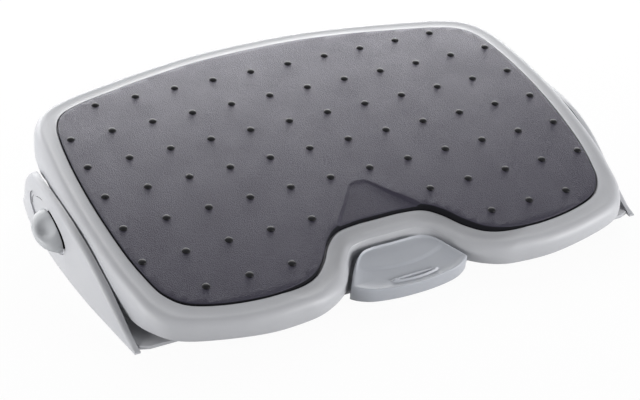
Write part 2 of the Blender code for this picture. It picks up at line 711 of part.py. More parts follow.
def rubber_mat():
    """The studded rubber mat with its bare hollow at the notch."""
    rim = platform_points(RIM_OUTLINE_SHARES)
    edge = platform_points(MAT_OUTLINE_SHARES)
    round_share = MAT_EDGE_ROUND / RIM_WIDTH
    made = loft("rubber_mat", [
        ring_between(edge, rim, 0, -MAT_THICK),
        ring_between(edge, rim, 0, -MAT_EDGE_ROUND),
        ring_between(edge, rim, -round_share, 0),
    ])
    arch(made)
    part(made, MAT_RUBBER, platform)
    studs = bmesh.new()
    for row, first, last in STUD_ROWS:
        y = row * STUD_PITCH_Y
        for column in range(first, last + 1):
            for side in (-1, 1):
                x = side * (column + 1 / 2) * STUD_PITCH_X
                size = Matrix.Diagonal((STUD_RADIUS, STUD_RADIUS, STUD_HEIGHT, 1))
                place = Matrix.Translation((x, y, crown(y) - STUD_SINK))
                steps = {"u_segments": STUD_STEPS_AROUND, "v_segments": STUD_STEPS_UP}
                bmesh.ops.create_uvsphere(studs, radius=1, matrix=place @ size, **steps)
    join(made, solid("mat_studs", studs))
    half = [(x * PLATFORM_HALF_WIDTH, y * PLATFORM_REACH) for x, y in HOLLOW_OUTLINE_SHARES]
    outline = half + [(-x, y) for x, y in reversed(half)]
    start, end = half[0][1], half[-1][1]
    floor = [(x, y, GAP / 2 - HOLLOW_DEPTH * (start - y) / (start - end)) for x, y in outline]
    hollow = loft("mat_hollow", [floor, [(x, y, HOLLOW_DEPTH + OVERRUN) for x, y in outline]])
    arch(hollow)
    cut(made, hollow)


def hanger(side, word):
    """The eye bracket that hangs the platform on the shaft, with its bush and two screws."""
    inner, outer = hanger_inner_x(), hanger_inner_x() + HANGER_THICK
    top = -BOSS_DROP - GAP
    flange_low = top - HANGER_FLANGE_THICK
    eye = (PIVOT_BEHIND, -PIVOT_DROP)
    arc = []
    for step in range(HALF_ROUND_STEPS + 1):
        angle = HANGER_EYE_START + HANGER_EYE_SWEEP * step / HALF_ROUND_STEPS
        across, up = HANGER_EYE_RADIUS * math.cos(angle), HANGER_EYE_RADIUS * math.sin(angle)
        arc.append((eye[0] + across, eye[1] + up))
    web = [(PIVOT_BEHIND + HANGER_HALF_LENGTH, top), (PIVOT_BEHIND - HANGER_HALF_LENGTH, top)] + arc
    edges = sorted((side * inner, side * outer))
    made = part(slab(word + "_hanger", web, edges[0], edges[1], "X"), BRACKET_STEEL, platform)
    flange = sorted((side * (inner - HANGER_FLANGE_WIDTH), side * (inner + OVERRUN)))
    join(made, box(
        "hanger_flange",
        (flange[0], PIVOT_BEHIND - HANGER_HALF_LENGTH, flange_low),
        (flange[1], PIVOT_BEHIND + HANGER_HALF_LENGTH, top),
    ))
    middle = side * (inner + outer) / 2
    bush_radius = SHAFT_RADIUS + GAP + BUSH_WALL
    cut(made, rod("hanger_bore", bush_radius + GAP, (middle, *eye), HANGER_THICK + OVERRUN, "X"))
    for index, spread in enumerate((-HANGER_SCREW_SPREAD, HANGER_SCREW_SPREAD)):
        x, y = side * hanger_screw_x(), PIVOT_BEHIND + spread
        cut(made, hole("hanger_screw_hole", (x, y, flange_low), "Z", HANGER_FLANGE_THICK * 2 + OVERRUN))
        end = ("front", "rear")[index]
        length = HANGER_FLANGE_THICK + GAP + SCREW_BITE
        screw(word + "_hanger_screw_" + end, (x, y, flange_low - GAP), "Z", length, platform)
    bore = SHAFT_RADIUS + GAP
    low, high = 0, HANGER_THICK
    bush = turned(word + "_bush", [
        (bore, high), (bush_radius, high), (bush_radius, low - GAP), (BUSH_FLANGE_RADIUS, low - GAP),
        (BUSH_FLANGE_RADIUS, low - GAP - BUSH_FLANGE), (bore, low - GAP - BUSH_FLANGE), (bore, high),
    ])
    bush.location = (side * inner, *eye)
    bush.rotation_euler = turn_to("X" if side > 0 else "-X")
    part(bush, NYLON, platform)


def tilt_shaft():
    """The cross shaft with a groove for each retaining clip and a hole for the drum's pin."""
    end = BLOCK_OUTER_X - GAP * 2
    groove = CLIP_PLACE
    waist = SHAFT_RADIUS - CLIP_GROOVE_DEPTH
    half = [(0, end), (SHAFT_RADIUS - GAP, end), (SHAFT_RADIUS, end - GAP)]
    half += [(SHAFT_RADIUS, groove + CLIP_THICK + GAP), (waist, groove + CLIP_THICK + GAP)]
    half += [(waist, groove - GAP), (SHAFT_RADIUS, groove - GAP)]
    profile = half + [(radius, -height) for radius, height in reversed(half)]
    made = turned("tilt_shaft", profile)
    made.location = (0, PIVOT_Y, PIVOT_Z)
    made.rotation_euler = turn_to("X")
    part(made, SHAFT_STEEL)
    reach = DRUM_RADIUS * 2 + OVERRUN
    cut(made, rod("shaft_pin_hole", DRUM_PIN_RADIUS + GAP, (0, PIVOT_Y, PIVOT_Z), reach, "Y", SCREW_STEPS))


def retaining_clip(side, word):
    """An open ring in the shaft's groove, outside the hanger."""
    inner = SHAFT_RADIUS - CLIP_GROOVE_DEPTH + GAP
    open_angle = 2 * math.pi - 2 * CLIP_MOUTH
    angles = [CLIP_MOUTH + open_angle * step / ROUND_STEPS for step in range(ROUND_STEPS + 1)]
    outline = [(CLIP_RADIUS * math.cos(angle), CLIP_RADIUS * math.sin(angle)) for angle in angles]
    outline += [(inner * math.cos(angle), inner * math.sin(angle)) for angle in reversed(angles)]
    edges = sorted((side * CLIP_PLACE, side * (CLIP_PLACE + CLIP_THICK)))
    made = part(slab(word + "_retaining_clip", outline, edges[0], edges[1], "X"), SPRING_STEEL)
    made.location.y = PIVOT_Y
    made.location.z = PIVOT_Z


def brake_drum():
    """The drum in the middle of the shaft, held by a cross pin."""
    bore = SHAFT_RADIUS + GAP
    end = DRUM_HALF_WIDTH
    edge = DRUM_BEVEL
    made = turned("brake_drum", [
        (bore, end), (DRUM_RADIUS - edge, end), (DRUM_RADIUS, end - edge), (DRUM_RADIUS, edge - end),
        (DRUM_RADIUS - edge, -end), (bore, -end), (bore, end),
    ], DRUM_STEPS)
    made.location = (0, PIVOT_Y, PIVOT_Z)
    made.rotation_euler = turn_to("X")
    part(made, BRACKET_STEEL)
    reach = DRUM_RADIUS * 2 + OVERRUN
    centre = (0, PIVOT_Y, PIVOT_Z)
    cut(made, rod("drum_pin_hole", DRUM_PIN_RADIUS + GAP, centre, reach, "Y", SCREW_STEPS))
    pin = rod("drum_pin", DRUM_PIN_RADIUS, centre, DRUM_RADIUS * 2 - OVERRUN, "Y", SCREW_STEPS)
    part(pin, SHAFT_STEEL)


def brake_pad():
    """The rubber pad under the lever, hollowed to sit on the drum."""
    radius = DRUM_RADIUS + GAP
    outline = []
    for step in range(HALF_ROUND_STEPS + 1):
        angle = math.pi / 2 - PAD_HALF_ARC + 2 * PAD_HALF_ARC * step / HALF_ROUND_STEPS
        outline.append((PIVOT_BEHIND + radius * math.cos(angle), radius * math.sin(angle) - PIVOT_DROP))
    half = radius * math.sin(PAD_HALF_ARC)
    outline += [(PIVOT_BEHIND - half, -PAD_TOP_DROP), (PIVOT_BEHIND + half, -PAD_TOP_DROP)]
    width = DRUM_HALF_WIDTH - GAP
    part(slab("brake_pad", outline, -width, width, "X"), BRAKE_RUBBER, pedal_frame)


def pedal_lever():
    """The lever under the pedal and the platform: pedal screws, pin eye, spring spigot and pad seat."""
    deck = -PEDAL_DECK_DROP - GAP
    top = -LEVER_TOP_DROP
    low = -PAD_TOP_DROP + GAP
    eye = PEDAL_PIN_Y
    outline = [
        (LEVER_FRONT_Y, deck), (LEVER_FRONT_Y, deck - LEVER_THICK), (eye, deck - LEVER_THICK),
        (eye + LEVER_EYE_RADIUS * 2, low), (LEVER_REAR_Y, low), (LEVER_REAR_Y, top),
        (eye + LEVER_EYE_RADIUS, top), (eye - LEVER_EYE_RADIUS / 2, deck),
    ]
    made = slab("pedal_lever", outline, -LEVER_HALF_WIDTH, LEVER_HALF_WIDTH, "X")
    part(made, BRACKET_STEEL, pedal_frame)
    centre = (0, PEDAL_PIN_Y, -PEDAL_PIN_DROP)
    join(made, rod("lever_eye", LEVER_EYE_RADIUS, centre, LEVER_HALF_WIDTH * 2 - GAP, "X"))
    spigot_top = top + SPRING_SPIGOT_HEIGHT
    spigot_radius = SPRING_RADIUS - SPRING_WIRE_RADIUS - GAP * 2
    spigot_length = SPRING_SPIGOT_HEIGHT + LEVER_THICK / 2
    spigot_place = (0, SPRING_Y, spigot_top - spigot_length / 2)
    join(made, rod("spring_spigot", spigot_radius, spigot_place, spigot_length))
    bore = PEDAL_PIN_RADIUS + GAP
    cut(made, rod("lever_bore", bore, centre, LEVER_HALF_WIDTH * 2 + OVERRUN, "X"))
    for side, word in ((-1, "left"), (1, "right")):
        x = side * LEVER_SCREW_X
        under = deck - LEVER_THICK - GAP
        cut(made, hole("lever_screw_hole", (x, LEVER_SCREW_Y, deck), "Z", LEVER_THICK * 2 + OVERRUN * 2))
        length = LEVER_THICK + GAP * 2 + LEVER_SCREW_BITE
        screw(word + "_pedal_screw", (x, LEVER_SCREW_Y, under), "Z", length, pedal_frame)


def pedal_points():
    """The pedal's outline from the rear edge round."""
    half = [(x * PEDAL_HALF_WIDTH, PEDAL_REAR_Y - y * PEDAL_LENGTH) for x, y in PEDAL_OUTLINE_SHARES]
    return smooth_curve(mirrored(half), STEPS_PER_POINT, closed=True)


def foot_pedal():
    """The dished pedal in the notch: walls, deck, a lip round it and a raised grip."""
    outline = pedal_points()
    middle = Vector((0, PEDAL_REAR_Y - PEDAL_LENGTH * PEDAL_MIDDLE_SHARE))
    rings = [[(x, y, -PEDAL_BOTTOM_DROP) for x, y in outline]]
    for size, sink in PEDAL_TOP_SHARES:
        ring = [middle + (point - middle) * size for point in outline]
        rings.append([(x, y, crown(y) - PEDAL_SINK - PEDAL_DISH * sink) for x, y in ring])
    made = part(loft("foot_pedal", rings), PEDAL_GREY, pedal_frame)
    inner_share = 1 - PEDAL_WALL / (PEDAL_LENGTH / 2)
    inner = [middle + (point - middle) * inner_share for point in outline]
    low = -PEDAL_BOTTOM_DROP - OVERRUN
    cut(made, loft("pedal_hollow", [
        [(x, y, low) for x, y in inner], [(x, y, -PEDAL_DECK_DROP) for x, y in inner],
    ]))
    half = LEVER_HALF_WIDTH + GAP * 2
    door_end = (half, PEDAL_REAR_Y + OVERRUN, -PEDAL_DECK_DROP)
    cut(made, box("pedal_doorway", (-half, LEVER_SCREW_Y, low), door_end))
    for side in (-1, 1):
        place = (side * LEVER_SCREW_X, LEVER_SCREW_Y, -PEDAL_DECK_DROP)
        cut(made, hole("pedal_screw_hole", place, "Z", (LEVER_SCREW_BITE + GAP * 2) * 2))
    grip_y = PEDAL_REAR_Y - PEDAL_LENGTH * PEDAL_GRIP_SHARE
    grip_place = (0, grip_y, crown(grip_y) - PEDAL_SINK - PEDAL_DISH)
    radii = (PEDAL_GRIP_HALF_WIDTH, PEDAL_GRIP_HALF_LENGTH, PEDAL_GRIP_HEIGHT)
    join(made, ellipsoid("pedal_grip", grip_place, radii, ROUND_STEPS))


def pedal_bracket():
    """The bracket under the shell's front with two ears that carry the pedal's pin."""
    top = -BOSS_DROP - GAP
    web_low = top - PEDAL_BRACKET_THICK
    half = PEDAL_BRACKET_HALF_WIDTH
    made = box(
        "pedal_bracket", (-half, PEDAL_BRACKET_FRONT_Y, web_low), (half, PEDAL_BRACKET_REAR_Y, top)
    )
    part(made, BRACKET_STEEL, platform)
    ear_inner = LEVER_HALF_WIDTH + OVERRUN
    ear_outer = ear_inner + PEDAL_BRACKET_THICK
    for side, word in ((-1, "left"), (1, "right")):
        edges = sorted((side * ear_inner, side * ear_outer))
        join(made, box(
            "pedal_bracket_ear",
            (edges[0], PEDAL_BRACKET_FRONT_Y, -PEDAL_EAR_BOTTOM_DROP),
            (edges[1], PEDAL_BRACKET_REAR_Y - LEVER_EYE_RADIUS, web_low + GAP),
        ))
        place = (side * PEDAL_BRACKET_SCREW_X, PEDAL_BRACKET_SCREW_Y, web_low)
        cut(made, hole("pedal_bracket_screw_hole", place, "Z", PEDAL_BRACKET_THICK * 2 + OVERRUN))
        length = PEDAL_BRACKET_THICK + GAP + SCREW_BITE + crown(PEDAL_BRACKET_SCREW_Y)
        head = (place[0], place[1], web_low - GAP)
        screw(word + "_pedal_bracket_screw", head, "Z", length, platform)
    centre = (0, PEDAL_PIN_Y, -PEDAL_PIN_DROP)
    bore = PEDAL_PIN_RADIUS + GAP
    cut(made, rod("pedal_bracket_bore", bore, centre, ear_outer * 2 + OVERRUN, "X"))
    tail = ear_outer + OVERRUN
    head = ear_outer + GAP
    top = head + PEDAL_PIN_HEAD
    pin = turned("pedal_pin", [
        (0, top), (PEDAL_PIN_HEAD_RADIUS, top), (PEDAL_PIN_HEAD_RADIUS, head), (PEDAL_PIN_RADIUS, head),
        (PEDAL_PIN_RADIUS, GAP - tail), (PEDAL_PIN_RADIUS - GAP, -tail), (0, -tail),
    ])
    pin.location = centre
    pin.rotation_euler = turn_to("X")
    part(pin, SHAFT_STEEL, platform)


def return_spring():
    """The coil between the lever and the shell that lifts the pedal and presses the pad down."""
    wire = SPRING_WIRE_RADIUS
    low = -LEVER_TOP_DROP + GAP + wire
    high = -MAT_THICK - GAP - SKIN + crown(SPRING_Y - SPRING_RADIUS) - GAP * 2 - wire
    curve = bpy.data.curves.new("return_spring", "CURVE")
    curve.dimensions = "3D"
    curve.bevel_depth = wire
    curve.bevel_resolution = 1
    curve.use_fill_caps = True
    spline = curve.splines.new("POLY")
    count = SPRING_TURNS * SPRING_STEPS_PER_TURN
    spline.points.add(count)
    for index, point in enumerate(spline.points):
        angle = 2 * math.pi * index / SPRING_STEPS_PER_TURN
        height = low + (high - low) * index / count
        point.co = (SPRING_RADIUS * math.cos(angle), SPRING_RADIUS * math.sin(angle), height, 1)
    made = plain_mesh(bpy.data.objects.new("return_spring", curve))
    made.location.y = SPRING_Y
    part(made, SPRING_STEEL, platform)


def plate_outline():
    """The base plate's edge, front and rear straight."""
    length = PLATE_REAR_Y - PLATE_FRONT_Y
    half = [(x * ARM_INNER_X, PLATE_FRONT_Y + y * length) for x, y in PLATE_EDGE_SHARES]
    return half + [(-x, y) for x, y in reversed(half)]


def base_plate():
    """The base's floor plate with two hollow cross beams, ribs and pockets for its feet."""
    made = part(slab("base_plate", plate_outline(), FOOT_PROUD, PLATE_TOP), LIGHT_GREY)
    beam_half = POST_X - POST_FLANGE
    top = PLATE_TOP + BEAM_HEIGHT
    for name, start in (("front_beam", FRONT_BEAM_Y), ("rear_beam", REAR_BEAM_Y)):
        join(made, box(name, (-beam_half, start, PLATE_TOP - GAP), (beam_half, start + BEAM_DEPTH, top)))
    for side in (-1, 1):
        join(made, box(
            "floor_rib",
            (side * RIB_X - RIB_THICK / 2, FRONT_BEAM_Y + BEAM_DEPTH - BEAM_WALL, PLATE_TOP - GAP),
            (side * RIB_X + RIB_THICK / 2, REAR_BEAM_Y + BEAM_WALL, PLATE_TOP + RIB_HEIGHT),
        ))
    for name, start in (("front_beam_hollow", FRONT_BEAM_Y), ("rear_beam_hollow", REAR_BEAM_Y)):
        cut(made, box(
            name,
            (BEAM_WALL - beam_half, start + BEAM_WALL, -OVERRUN),
            (beam_half - BEAM_WALL, start + BEAM_DEPTH - BEAM_WALL, top - BEAM_WALL),
        ))
    for end, x, y in (("front", FRONT_FOOT_X, FRONT_FOOT_Y), ("rear", REAR_FOOT_X, REAR_FOOT_Y)):
        for side, word in ((-1, "left"), (1, "right")):
            place = (side * x, y, 0)
            pocket = (FOOT_THICK + GAP) * 2
            cut(made, rod("foot_pocket", FOOT_RADIUS + GAP, place, pocket))
            foot = rod(end + "_" + word + "_foot", FOOT_RADIUS, (side * x, y, FOOT_THICK / 2), FOOT_THICK)
            part(foot, FOOT_RUBBER)
    for x, y in base_screw_places():
        for side in (-1, 1):
            cut(made, hole("base_screw_hole", (side * x, y, 0), "Z", PLATE_TOP * 2 + OVERRUN))
            well = (FOOT_PROUD + SCREW_HEAD_HEIGHT + GAP) * 2
            cut(made, hole("base_screw_well", (side * x, y, 0), "Z", well, None, SCREW_HEAD_RADIUS + GAP))


def base_screw_places():
    """Where screws come up through the base plate, on the right side."""
    return [
        (POST_SCREW_X, PIVOT_Y - POST_SCREW_SPREAD),
        (POST_SCREW_X, PIVOT_Y + POST_SCREW_SPREAD),
        (TAB_SCREW_X, FRONT_TAB_Y),
        (TAB_SCREW_X, REAR_TAB_Y),
    ]


def base_screw(name, x, y, reach):
    """A screw from under the base plate, its head in a well."""
    length = reach + PLATE_THICK - SCREW_HEAD_HEIGHT
    screw(name, (x, y, FOOT_PROUD + SCREW_HEAD_HEIGHT), "Z", length)


def arm_section(side, along, wall):
    """One upright section of a side arm, `wall` inside its outer face and its top."""
    y = ARM_CENTRE_Y + along * ARM_HALF_LENGTH
    outer = ARM_INNER_X + ARM_DEPTH * arm_plan(along) - wall
    inner = ARM_INNER_X + ARM_DEPTH * between(ARM_INNER_SHARES, along)
    top = max(ARM_HEIGHT * between(ARM_TOP_SHARES, along) - wall, FOOT_PROUD + GAP)
    low = FOOT_PROUD
    if wall:
        inner -= ARM_DEPTH
        low = -OVERRUN
    share = ARM_EDGE_ROUND_SHARE
    bend = min(ARM_EDGE_ROUND - wall, (top - low) * share, (outer - inner) * share)
    section = [(inner, low), (outer, low)]
    for step in range(ARM_ROUND_STEPS + 1):
        angle = math.pi / 2 * step / ARM_ROUND_STEPS
        section.append((outer - bend + bend * math.cos(angle), top - bend + bend * math.sin(angle)))
    section.append((inner, top))
    return [(side * x, y, z) for x, z in section]


def arm_plan(along):
    """The arm's bulge as a share of its depth, from a smooth curve through the plan's points."""
    return between([tuple(point) for point in smooth_curve(ARM_PLAN_SHARES, ARM_PLAN_STEPS)], along)


def side_arm(side, word):
    """A hollow side arm, open inwards and below, with the knob's oval track and two screw tabs."""
    stations = [place for place, _ in ARM_TOP_SHARES]
    made = loft(word + "_side_arm", [arm_section(side, along, 0) for along in stations])
    part(made, LIGHT_GREY)
    hollow_stations = stations[ARM_SOLID_STEPS:-ARM_SOLID_STEPS]
    cavity = loft(word + "_arm_cavity", [arm_section(side, along, ARM_WALL) for along in hollow_stations])
    reach = ARM_DEPTH * 2
    boss_inner = TRACK_FLOOR_X - TRACK_FLOOR
    cut(cavity, oval("track_boss", side, boss_inner, boss_inner + reach, TRACK_RIM))
    cut(made, cavity)
    cut(made, oval("track", side, TRACK_FLOOR_X, TRACK_FLOOR_X + reach, 0))
    stem = stem_place()
    half_length, half_height = STEM_HALF_LENGTH + GAP, STEM_HALF_HEIGHT + GAP
    edges = sorted((side * (boss_inner - OVERRUN), side * (TRACK_FLOOR_X + OVERRUN)))
    cut(made, box(
        "stem_slot",
        (edges[0], stem[0] - half_length, stem[1] - half_height),
        (edges[1], stem[0] + half_length + SLIDE_TRAVEL, stem[1] + half_height),
    ))
    for end, y in (("front", FRONT_TAB_Y), ("rear", REAR_TAB_Y)):
        along = (y - ARM_CENTRE_Y) / ARM_HALF_LENGTH
        outer = ARM_INNER_X + ARM_DEPTH * arm_plan(along) - ARM_WALL / 2
        edges = sorted((side * TAB_INNER_X, side * outer))
        low = PLATE_TOP + GAP
        join(made, box(
            "arm_tab", (edges[0], y - TAB_LENGTH / 2, low), (edges[1], y + TAB_LENGTH / 2, low + TAB_THICK)
        ))
        cut(made, hole("tab_screw_hole", (side * TAB_SCREW_X, y, low), "Z", TAB_THICK * 2 + OVERRUN))
        base_screw(word + "_arm_screw_" + end, side * TAB_SCREW_X, y, TAB_THICK + OVERRUN)


def oval(name, side, low, high, grow):
    """An oval bar across X at the knob's track."""
    half_length, half_height = TRACK_HALF_LENGTH + grow, TRACK_HALF_HEIGHT + grow
    outline = []
    for step in range(OVAL_STEPS):
        angle = 2 * math.pi * step / OVAL_STEPS
        outline.append((half_length * math.cos(angle), half_height * math.sin(angle)))
    edges = sorted((side * low, side * high))
    made = slab(name, outline, edges[0], edges[1], "X")
    made.location.y = TRACK_Y
    made.location.z = TRACK_Z
    return made


def stem_place():
    """The knob's stem: its place along the arm and its height."""
    return KNOB_Y - STEM_AHEAD, KNOB_Z - STEM_AHEAD * math.tan(KNOB_LEAN)


def guide_post(side, word):
    """The post inside the arm with a slot for the shaft and two ribs that guide the lift block."""
    low = PLATE_TOP + GAP
    slot_half = SHAFT_RADIUS + OVERRUN / 2
    outline = [(-POST_HALF_LENGTH, low), (POST_HALF_LENGTH, low), (POST_HALF_LENGTH, POST_TOP)]
    outline += [(slot_half, POST_TOP)]
    middle = POST_SLOT_FLOOR + slot_half
    for step in range(HALF_ROUND_STEPS + 1):
        angle = -math.pi * step / HALF_ROUND_STEPS
        outline.append((slot_half * math.cos(angle), middle + slot_half * math.sin(angle)))
    outline += [(-slot_half, POST_TOP), (-POST_HALF_LENGTH, POST_TOP)]
    edges = sorted((side * POST_X, side * (POST_X + POST_THICK)))
    made = slab(word + "_guide_post", outline, edges[0], edges[1], "X")
    made.location.y = PIVOT_Y
    part(made, NYLON)
    flange = sorted((side * (POST_X - POST_FLANGE), side * (POST_X + POST_THICK / 2)))
    join(made, box(
        "post_flange",
        (flange[0], PIVOT_Y - POST_HALF_LENGTH, low),
        (flange[1], PIVOT_Y + POST_HALF_LENGTH, low + POST_FLANGE_THICK),
    ))
    ribs = sorted((side * (POST_X + POST_THICK / 2), side * BLOCK_OUTER_X))
    for direction in (-1, 1):
        near = PIVOT_Y + direction * (BLOCK_HALF_LENGTH + GAP)
        far = near + direction * POST_RIB_THICK
        low_corner = (ribs[0], min(near, far), POST_RIB_LOW)
        join(made, box("post_rib", low_corner, (ribs[1], max(near, far), POST_TOP - GAP)))
    for index, spread in enumerate((-POST_SCREW_SPREAD, POST_SCREW_SPREAD)):
        x, y = side * POST_SCREW_X, PIVOT_Y + spread
        cut(made, hole("post_screw_hole", (x, y, low), "Z", POST_FLANGE_THICK * 2 + OVERRUN))
        end = ("front", "rear")[index]
        base_screw(word + "_post_screw_" + end, x, y, POST_FLANGE_THICK + OVERRUN)


def ramp(y):
    """The wedge's top at y, with the slide in its front position."""
    return RAMP_AT_PIVOT + (PIVOT_Y - y) * RAMP_SLOPE


def lift_block(side, word):
    """The block that carries the shaft's end and rides up on the wedge."""
    front, rear = PIVOT_Y - BLOCK_HALF_LENGTH, PIVOT_Y + BLOCK_HALF_LENGTH
    top = PIVOT_Z + BLOCK_TOP
    outline = [(front, ramp(front) + GAP), (rear, ramp(rear) + GAP), (rear, top), (front, top)]
    edges = sorted((side * BLOCK_X, side * BLOCK_OUTER_X))
    made = part(slab(word + "_lift_block", outline, edges[0], edges[1], "X"), NYLON)
    middle = side * (BLOCK_X + BLOCK_OUTER_X) / 2
    bore = SHAFT_RADIUS + GAP
    cut(made, rod("block_bore", bore, (middle, PIVOT_Y, PIVOT_Z), BLOCK_OUTER_X - BLOCK_X + OVERRUN, "X"))


def wedge_slide(side, word):
    """The slide inside the arm: an upright plate with a wedge under the lift block."""
    low = PLATE_TOP + GAP
    front, rear = PIVOT_Y - WEDGE_FRONT, PIVOT_Y + WEDGE_REAR
    wedge = [(front, low), (rear, low), (rear, ramp(rear)), (front, ramp(front))]
    middle = side * (SLIDE_PLATE_INNER_X + SLIDE_PLATE_OUTER_X) / 2
    edges = sorted((side * (BLOCK_X + GAP), middle))
    made = part(slab(word + "_wedge_slide", wedge, edges[0], edges[1], "X"), NYLON)
    edges = sorted((side * SLIDE_PLATE_INNER_X, side * SLIDE_PLATE_OUTER_X))
    low_corner = (edges[0], front + GAP, low + GAP)
    join(made, box("slide_plate", low_corner, (edges[1], rear - GAP, SLIDE_PLATE_TOP)))
    stem = stem_place()
    half_length, half_height = STEM_HALF_LENGTH + GAP, STEM_HALF_HEIGHT + GAP
    thick = SLIDE_PLATE_THICK
    cut(made, box(
        "stem_socket",
        (middle - thick, stem[0] - half_length, stem[1] - half_height),
        (middle + thick, stem[0] + half_length, stem[1] + half_height),
    ))
    head = side * (SLIDE_PLATE_INNER_X - GAP)
    axis = "X" if side > 0 else "-X"
    length = SLIDE_PLATE_THICK + SCREW_BITE
    screw(word + "_knob_screw", (head, *stem), axis, length, None, KNOB_SCREW_HEAD_RADIUS)


def slide_knob(side, word):
    """The half-dome knob on the arm's face, with a thumb dish and a stem through the slot."""
    base = TRACK_FLOOR_X + GAP
    rings = []
    for index in range(KNOB_STEPS_OUT + 1):
        angle = KNOB_LAST_ANGLE * index / KNOB_STEPS_OUT
        height = KNOB_REACH * math.sin(angle) / math.sin(KNOB_LAST_ANGLE)
        taper = 1 - KNOB_TAPER_SHARE * height / KNOB_REACH
        wide = KNOB_HALF_LENGTH * math.cos(angle) ** KNOB_LENGTH_POWER
        tall = KNOB_HALF_HEIGHT * taper * math.cos(angle) ** KNOB_HEIGHT_POWER
        ring = []
        for step in range(KNOB_STEPS_AROUND):
            turn = 2 * math.pi * step / KNOB_STEPS_AROUND
            along, up = wide * math.cos(turn), tall * math.sin(turn)
            y = along * math.cos(KNOB_LEAN) - up * math.sin(KNOB_LEAN)
            z = along * math.sin(KNOB_LEAN) + up * math.cos(KNOB_LEAN)
            ring.append((side * height, y, z))
        rings.append(ring)
    made = loft(word + "_slide_knob", rings)
    made.location = (side * base, KNOB_Y, KNOB_Z)
    part(made, KNOB_GREY)
    out_share, along_share, up_share = KNOB_DISH_SHARES
    bottom = KNOB_Z + KNOB_HALF_HEIGHT * up_share - KNOB_DISH_DEPTH
    centre = (
        side * (base + KNOB_REACH * out_share),
        KNOB_Y + KNOB_HALF_LENGTH * along_share,
        bottom + KNOB_DISH_RADIUS,
    )
    radii = (KNOB_DISH_RADIUS, KNOB_DISH_RADIUS, KNOB_DISH_RADIUS)
    cut(made, ellipsoid("thumb_dish", centre, radii, BALL_STEPS))
    stem = stem_place()
    inner = TRACK_FLOOR_X - TRACK_FLOOR - SLIDE_PLATE_THICK + GAP
    edges = sorted((side * inner, side * (base + OVERRUN)))
    join(made, box(
        "knob_stem",
        (edges[0], stem[0] - STEM_HALF_LENGTH, stem[1] - STEM_HALF_HEIGHT),
        (edges[1], stem[0] + STEM_HALF_LENGTH, stem[1] + STEM_HALF_HEIGHT),
    ))
    length = (SCREW_BITE + SLIDE_PLATE_THICK) * 2
    axis = "X" if side > 0 else "-X"
    cut(made, hole("knob_screw_hole", (side * inner, *stem), axis, length))


platform_shell()
rubber_mat()
both_sides(hanger)
tilt_shaft()
both_sides(retaining_clip)
brake_drum()
brake_pad()
pedal_lever()
foot_pedal()
pedal_bracket()
return_spring()
base_plate()
both_sides(side_arm)
both_sides(guide_post)
both_sides(lift_block)
both_sides(wedge_slide)
both_sides(slide_knob)
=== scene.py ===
"""Looks of a tilting footrest: studded rubber mat on a light grey shell with a foot pedal in its
front notch, carried by a low base with side arms and sliding height knobs. Metres, +Z up."""
import math

import bmesh
import bpy
import numpy as np
from mathutils import Matrix, Vector


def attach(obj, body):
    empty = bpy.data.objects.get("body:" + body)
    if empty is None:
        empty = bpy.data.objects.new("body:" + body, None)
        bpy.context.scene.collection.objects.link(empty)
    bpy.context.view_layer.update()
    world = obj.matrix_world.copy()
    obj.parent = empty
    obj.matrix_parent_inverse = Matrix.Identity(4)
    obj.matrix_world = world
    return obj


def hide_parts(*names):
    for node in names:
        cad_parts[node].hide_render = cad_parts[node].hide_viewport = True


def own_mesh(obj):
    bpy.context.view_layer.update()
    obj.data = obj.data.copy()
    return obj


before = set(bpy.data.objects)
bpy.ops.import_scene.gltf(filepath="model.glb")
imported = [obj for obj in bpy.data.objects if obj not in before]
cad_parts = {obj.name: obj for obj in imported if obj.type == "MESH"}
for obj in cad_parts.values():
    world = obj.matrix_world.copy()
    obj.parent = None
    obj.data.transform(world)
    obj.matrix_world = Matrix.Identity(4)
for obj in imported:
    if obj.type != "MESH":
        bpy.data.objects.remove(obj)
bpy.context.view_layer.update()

# -------- platform shell
# The tray that carries the feet: one injection moulding in light grey plastic with a fine spark
# eroded grain. Its rim has a thin bead beside the mat, a shallow flat band, and a soft ridge that
# rolls over into the outer wall. Screw bosses stand under it.
HALF_WIDTH = 0.2405
REACH = 0.1785
CROWN_RADIUS = 1.6323
TILTED = (
    Matrix.Translation((0, 0.02015, 0.036))
    @ Matrix.Rotation(math.radians(12.23), 4, "X")
    @ Matrix.Translation((0, -0.0225, 0.038))
)
RIM_OUTLINE = [
    (0.000, 1.000), (0.216, 0.989), (0.441, 0.944), (0.649, 0.885), (0.807, 0.829), (0.906, 0.756),
    (0.965, 0.627), (0.990, 0.403), (1.000, 0.146), (0.998, -0.123), (0.983, -0.403), (0.961, -0.594),
    (0.934, -0.742), (0.868, -0.855), (0.728, -0.917), (0.574, -0.947), (0.441, -0.942), (0.341, -0.920),
    (0.244, -0.850), (0.189, -0.751), (0.150, -0.680), (0.093, -0.656), (0.000, -0.654),
]
MAT_OUTLINE = [
    (0.000, 0.896), (0.216, 0.885), (0.424, 0.843), (0.622, 0.782), (0.762, 0.731), (0.846, 0.672),
    (0.890, 0.560), (0.911, 0.370), (0.921, 0.140), (0.919, -0.112), (0.904, -0.381), (0.880, -0.560),
    (0.852, -0.672), (0.792, -0.756), (0.674, -0.807), (0.532, -0.828), (0.417, -0.815), (0.336, -0.772),
    (0.279, -0.697), (0.230, -0.606), (0.174, -0.546), (0.093, -0.526), (0.000, -0.524),
]
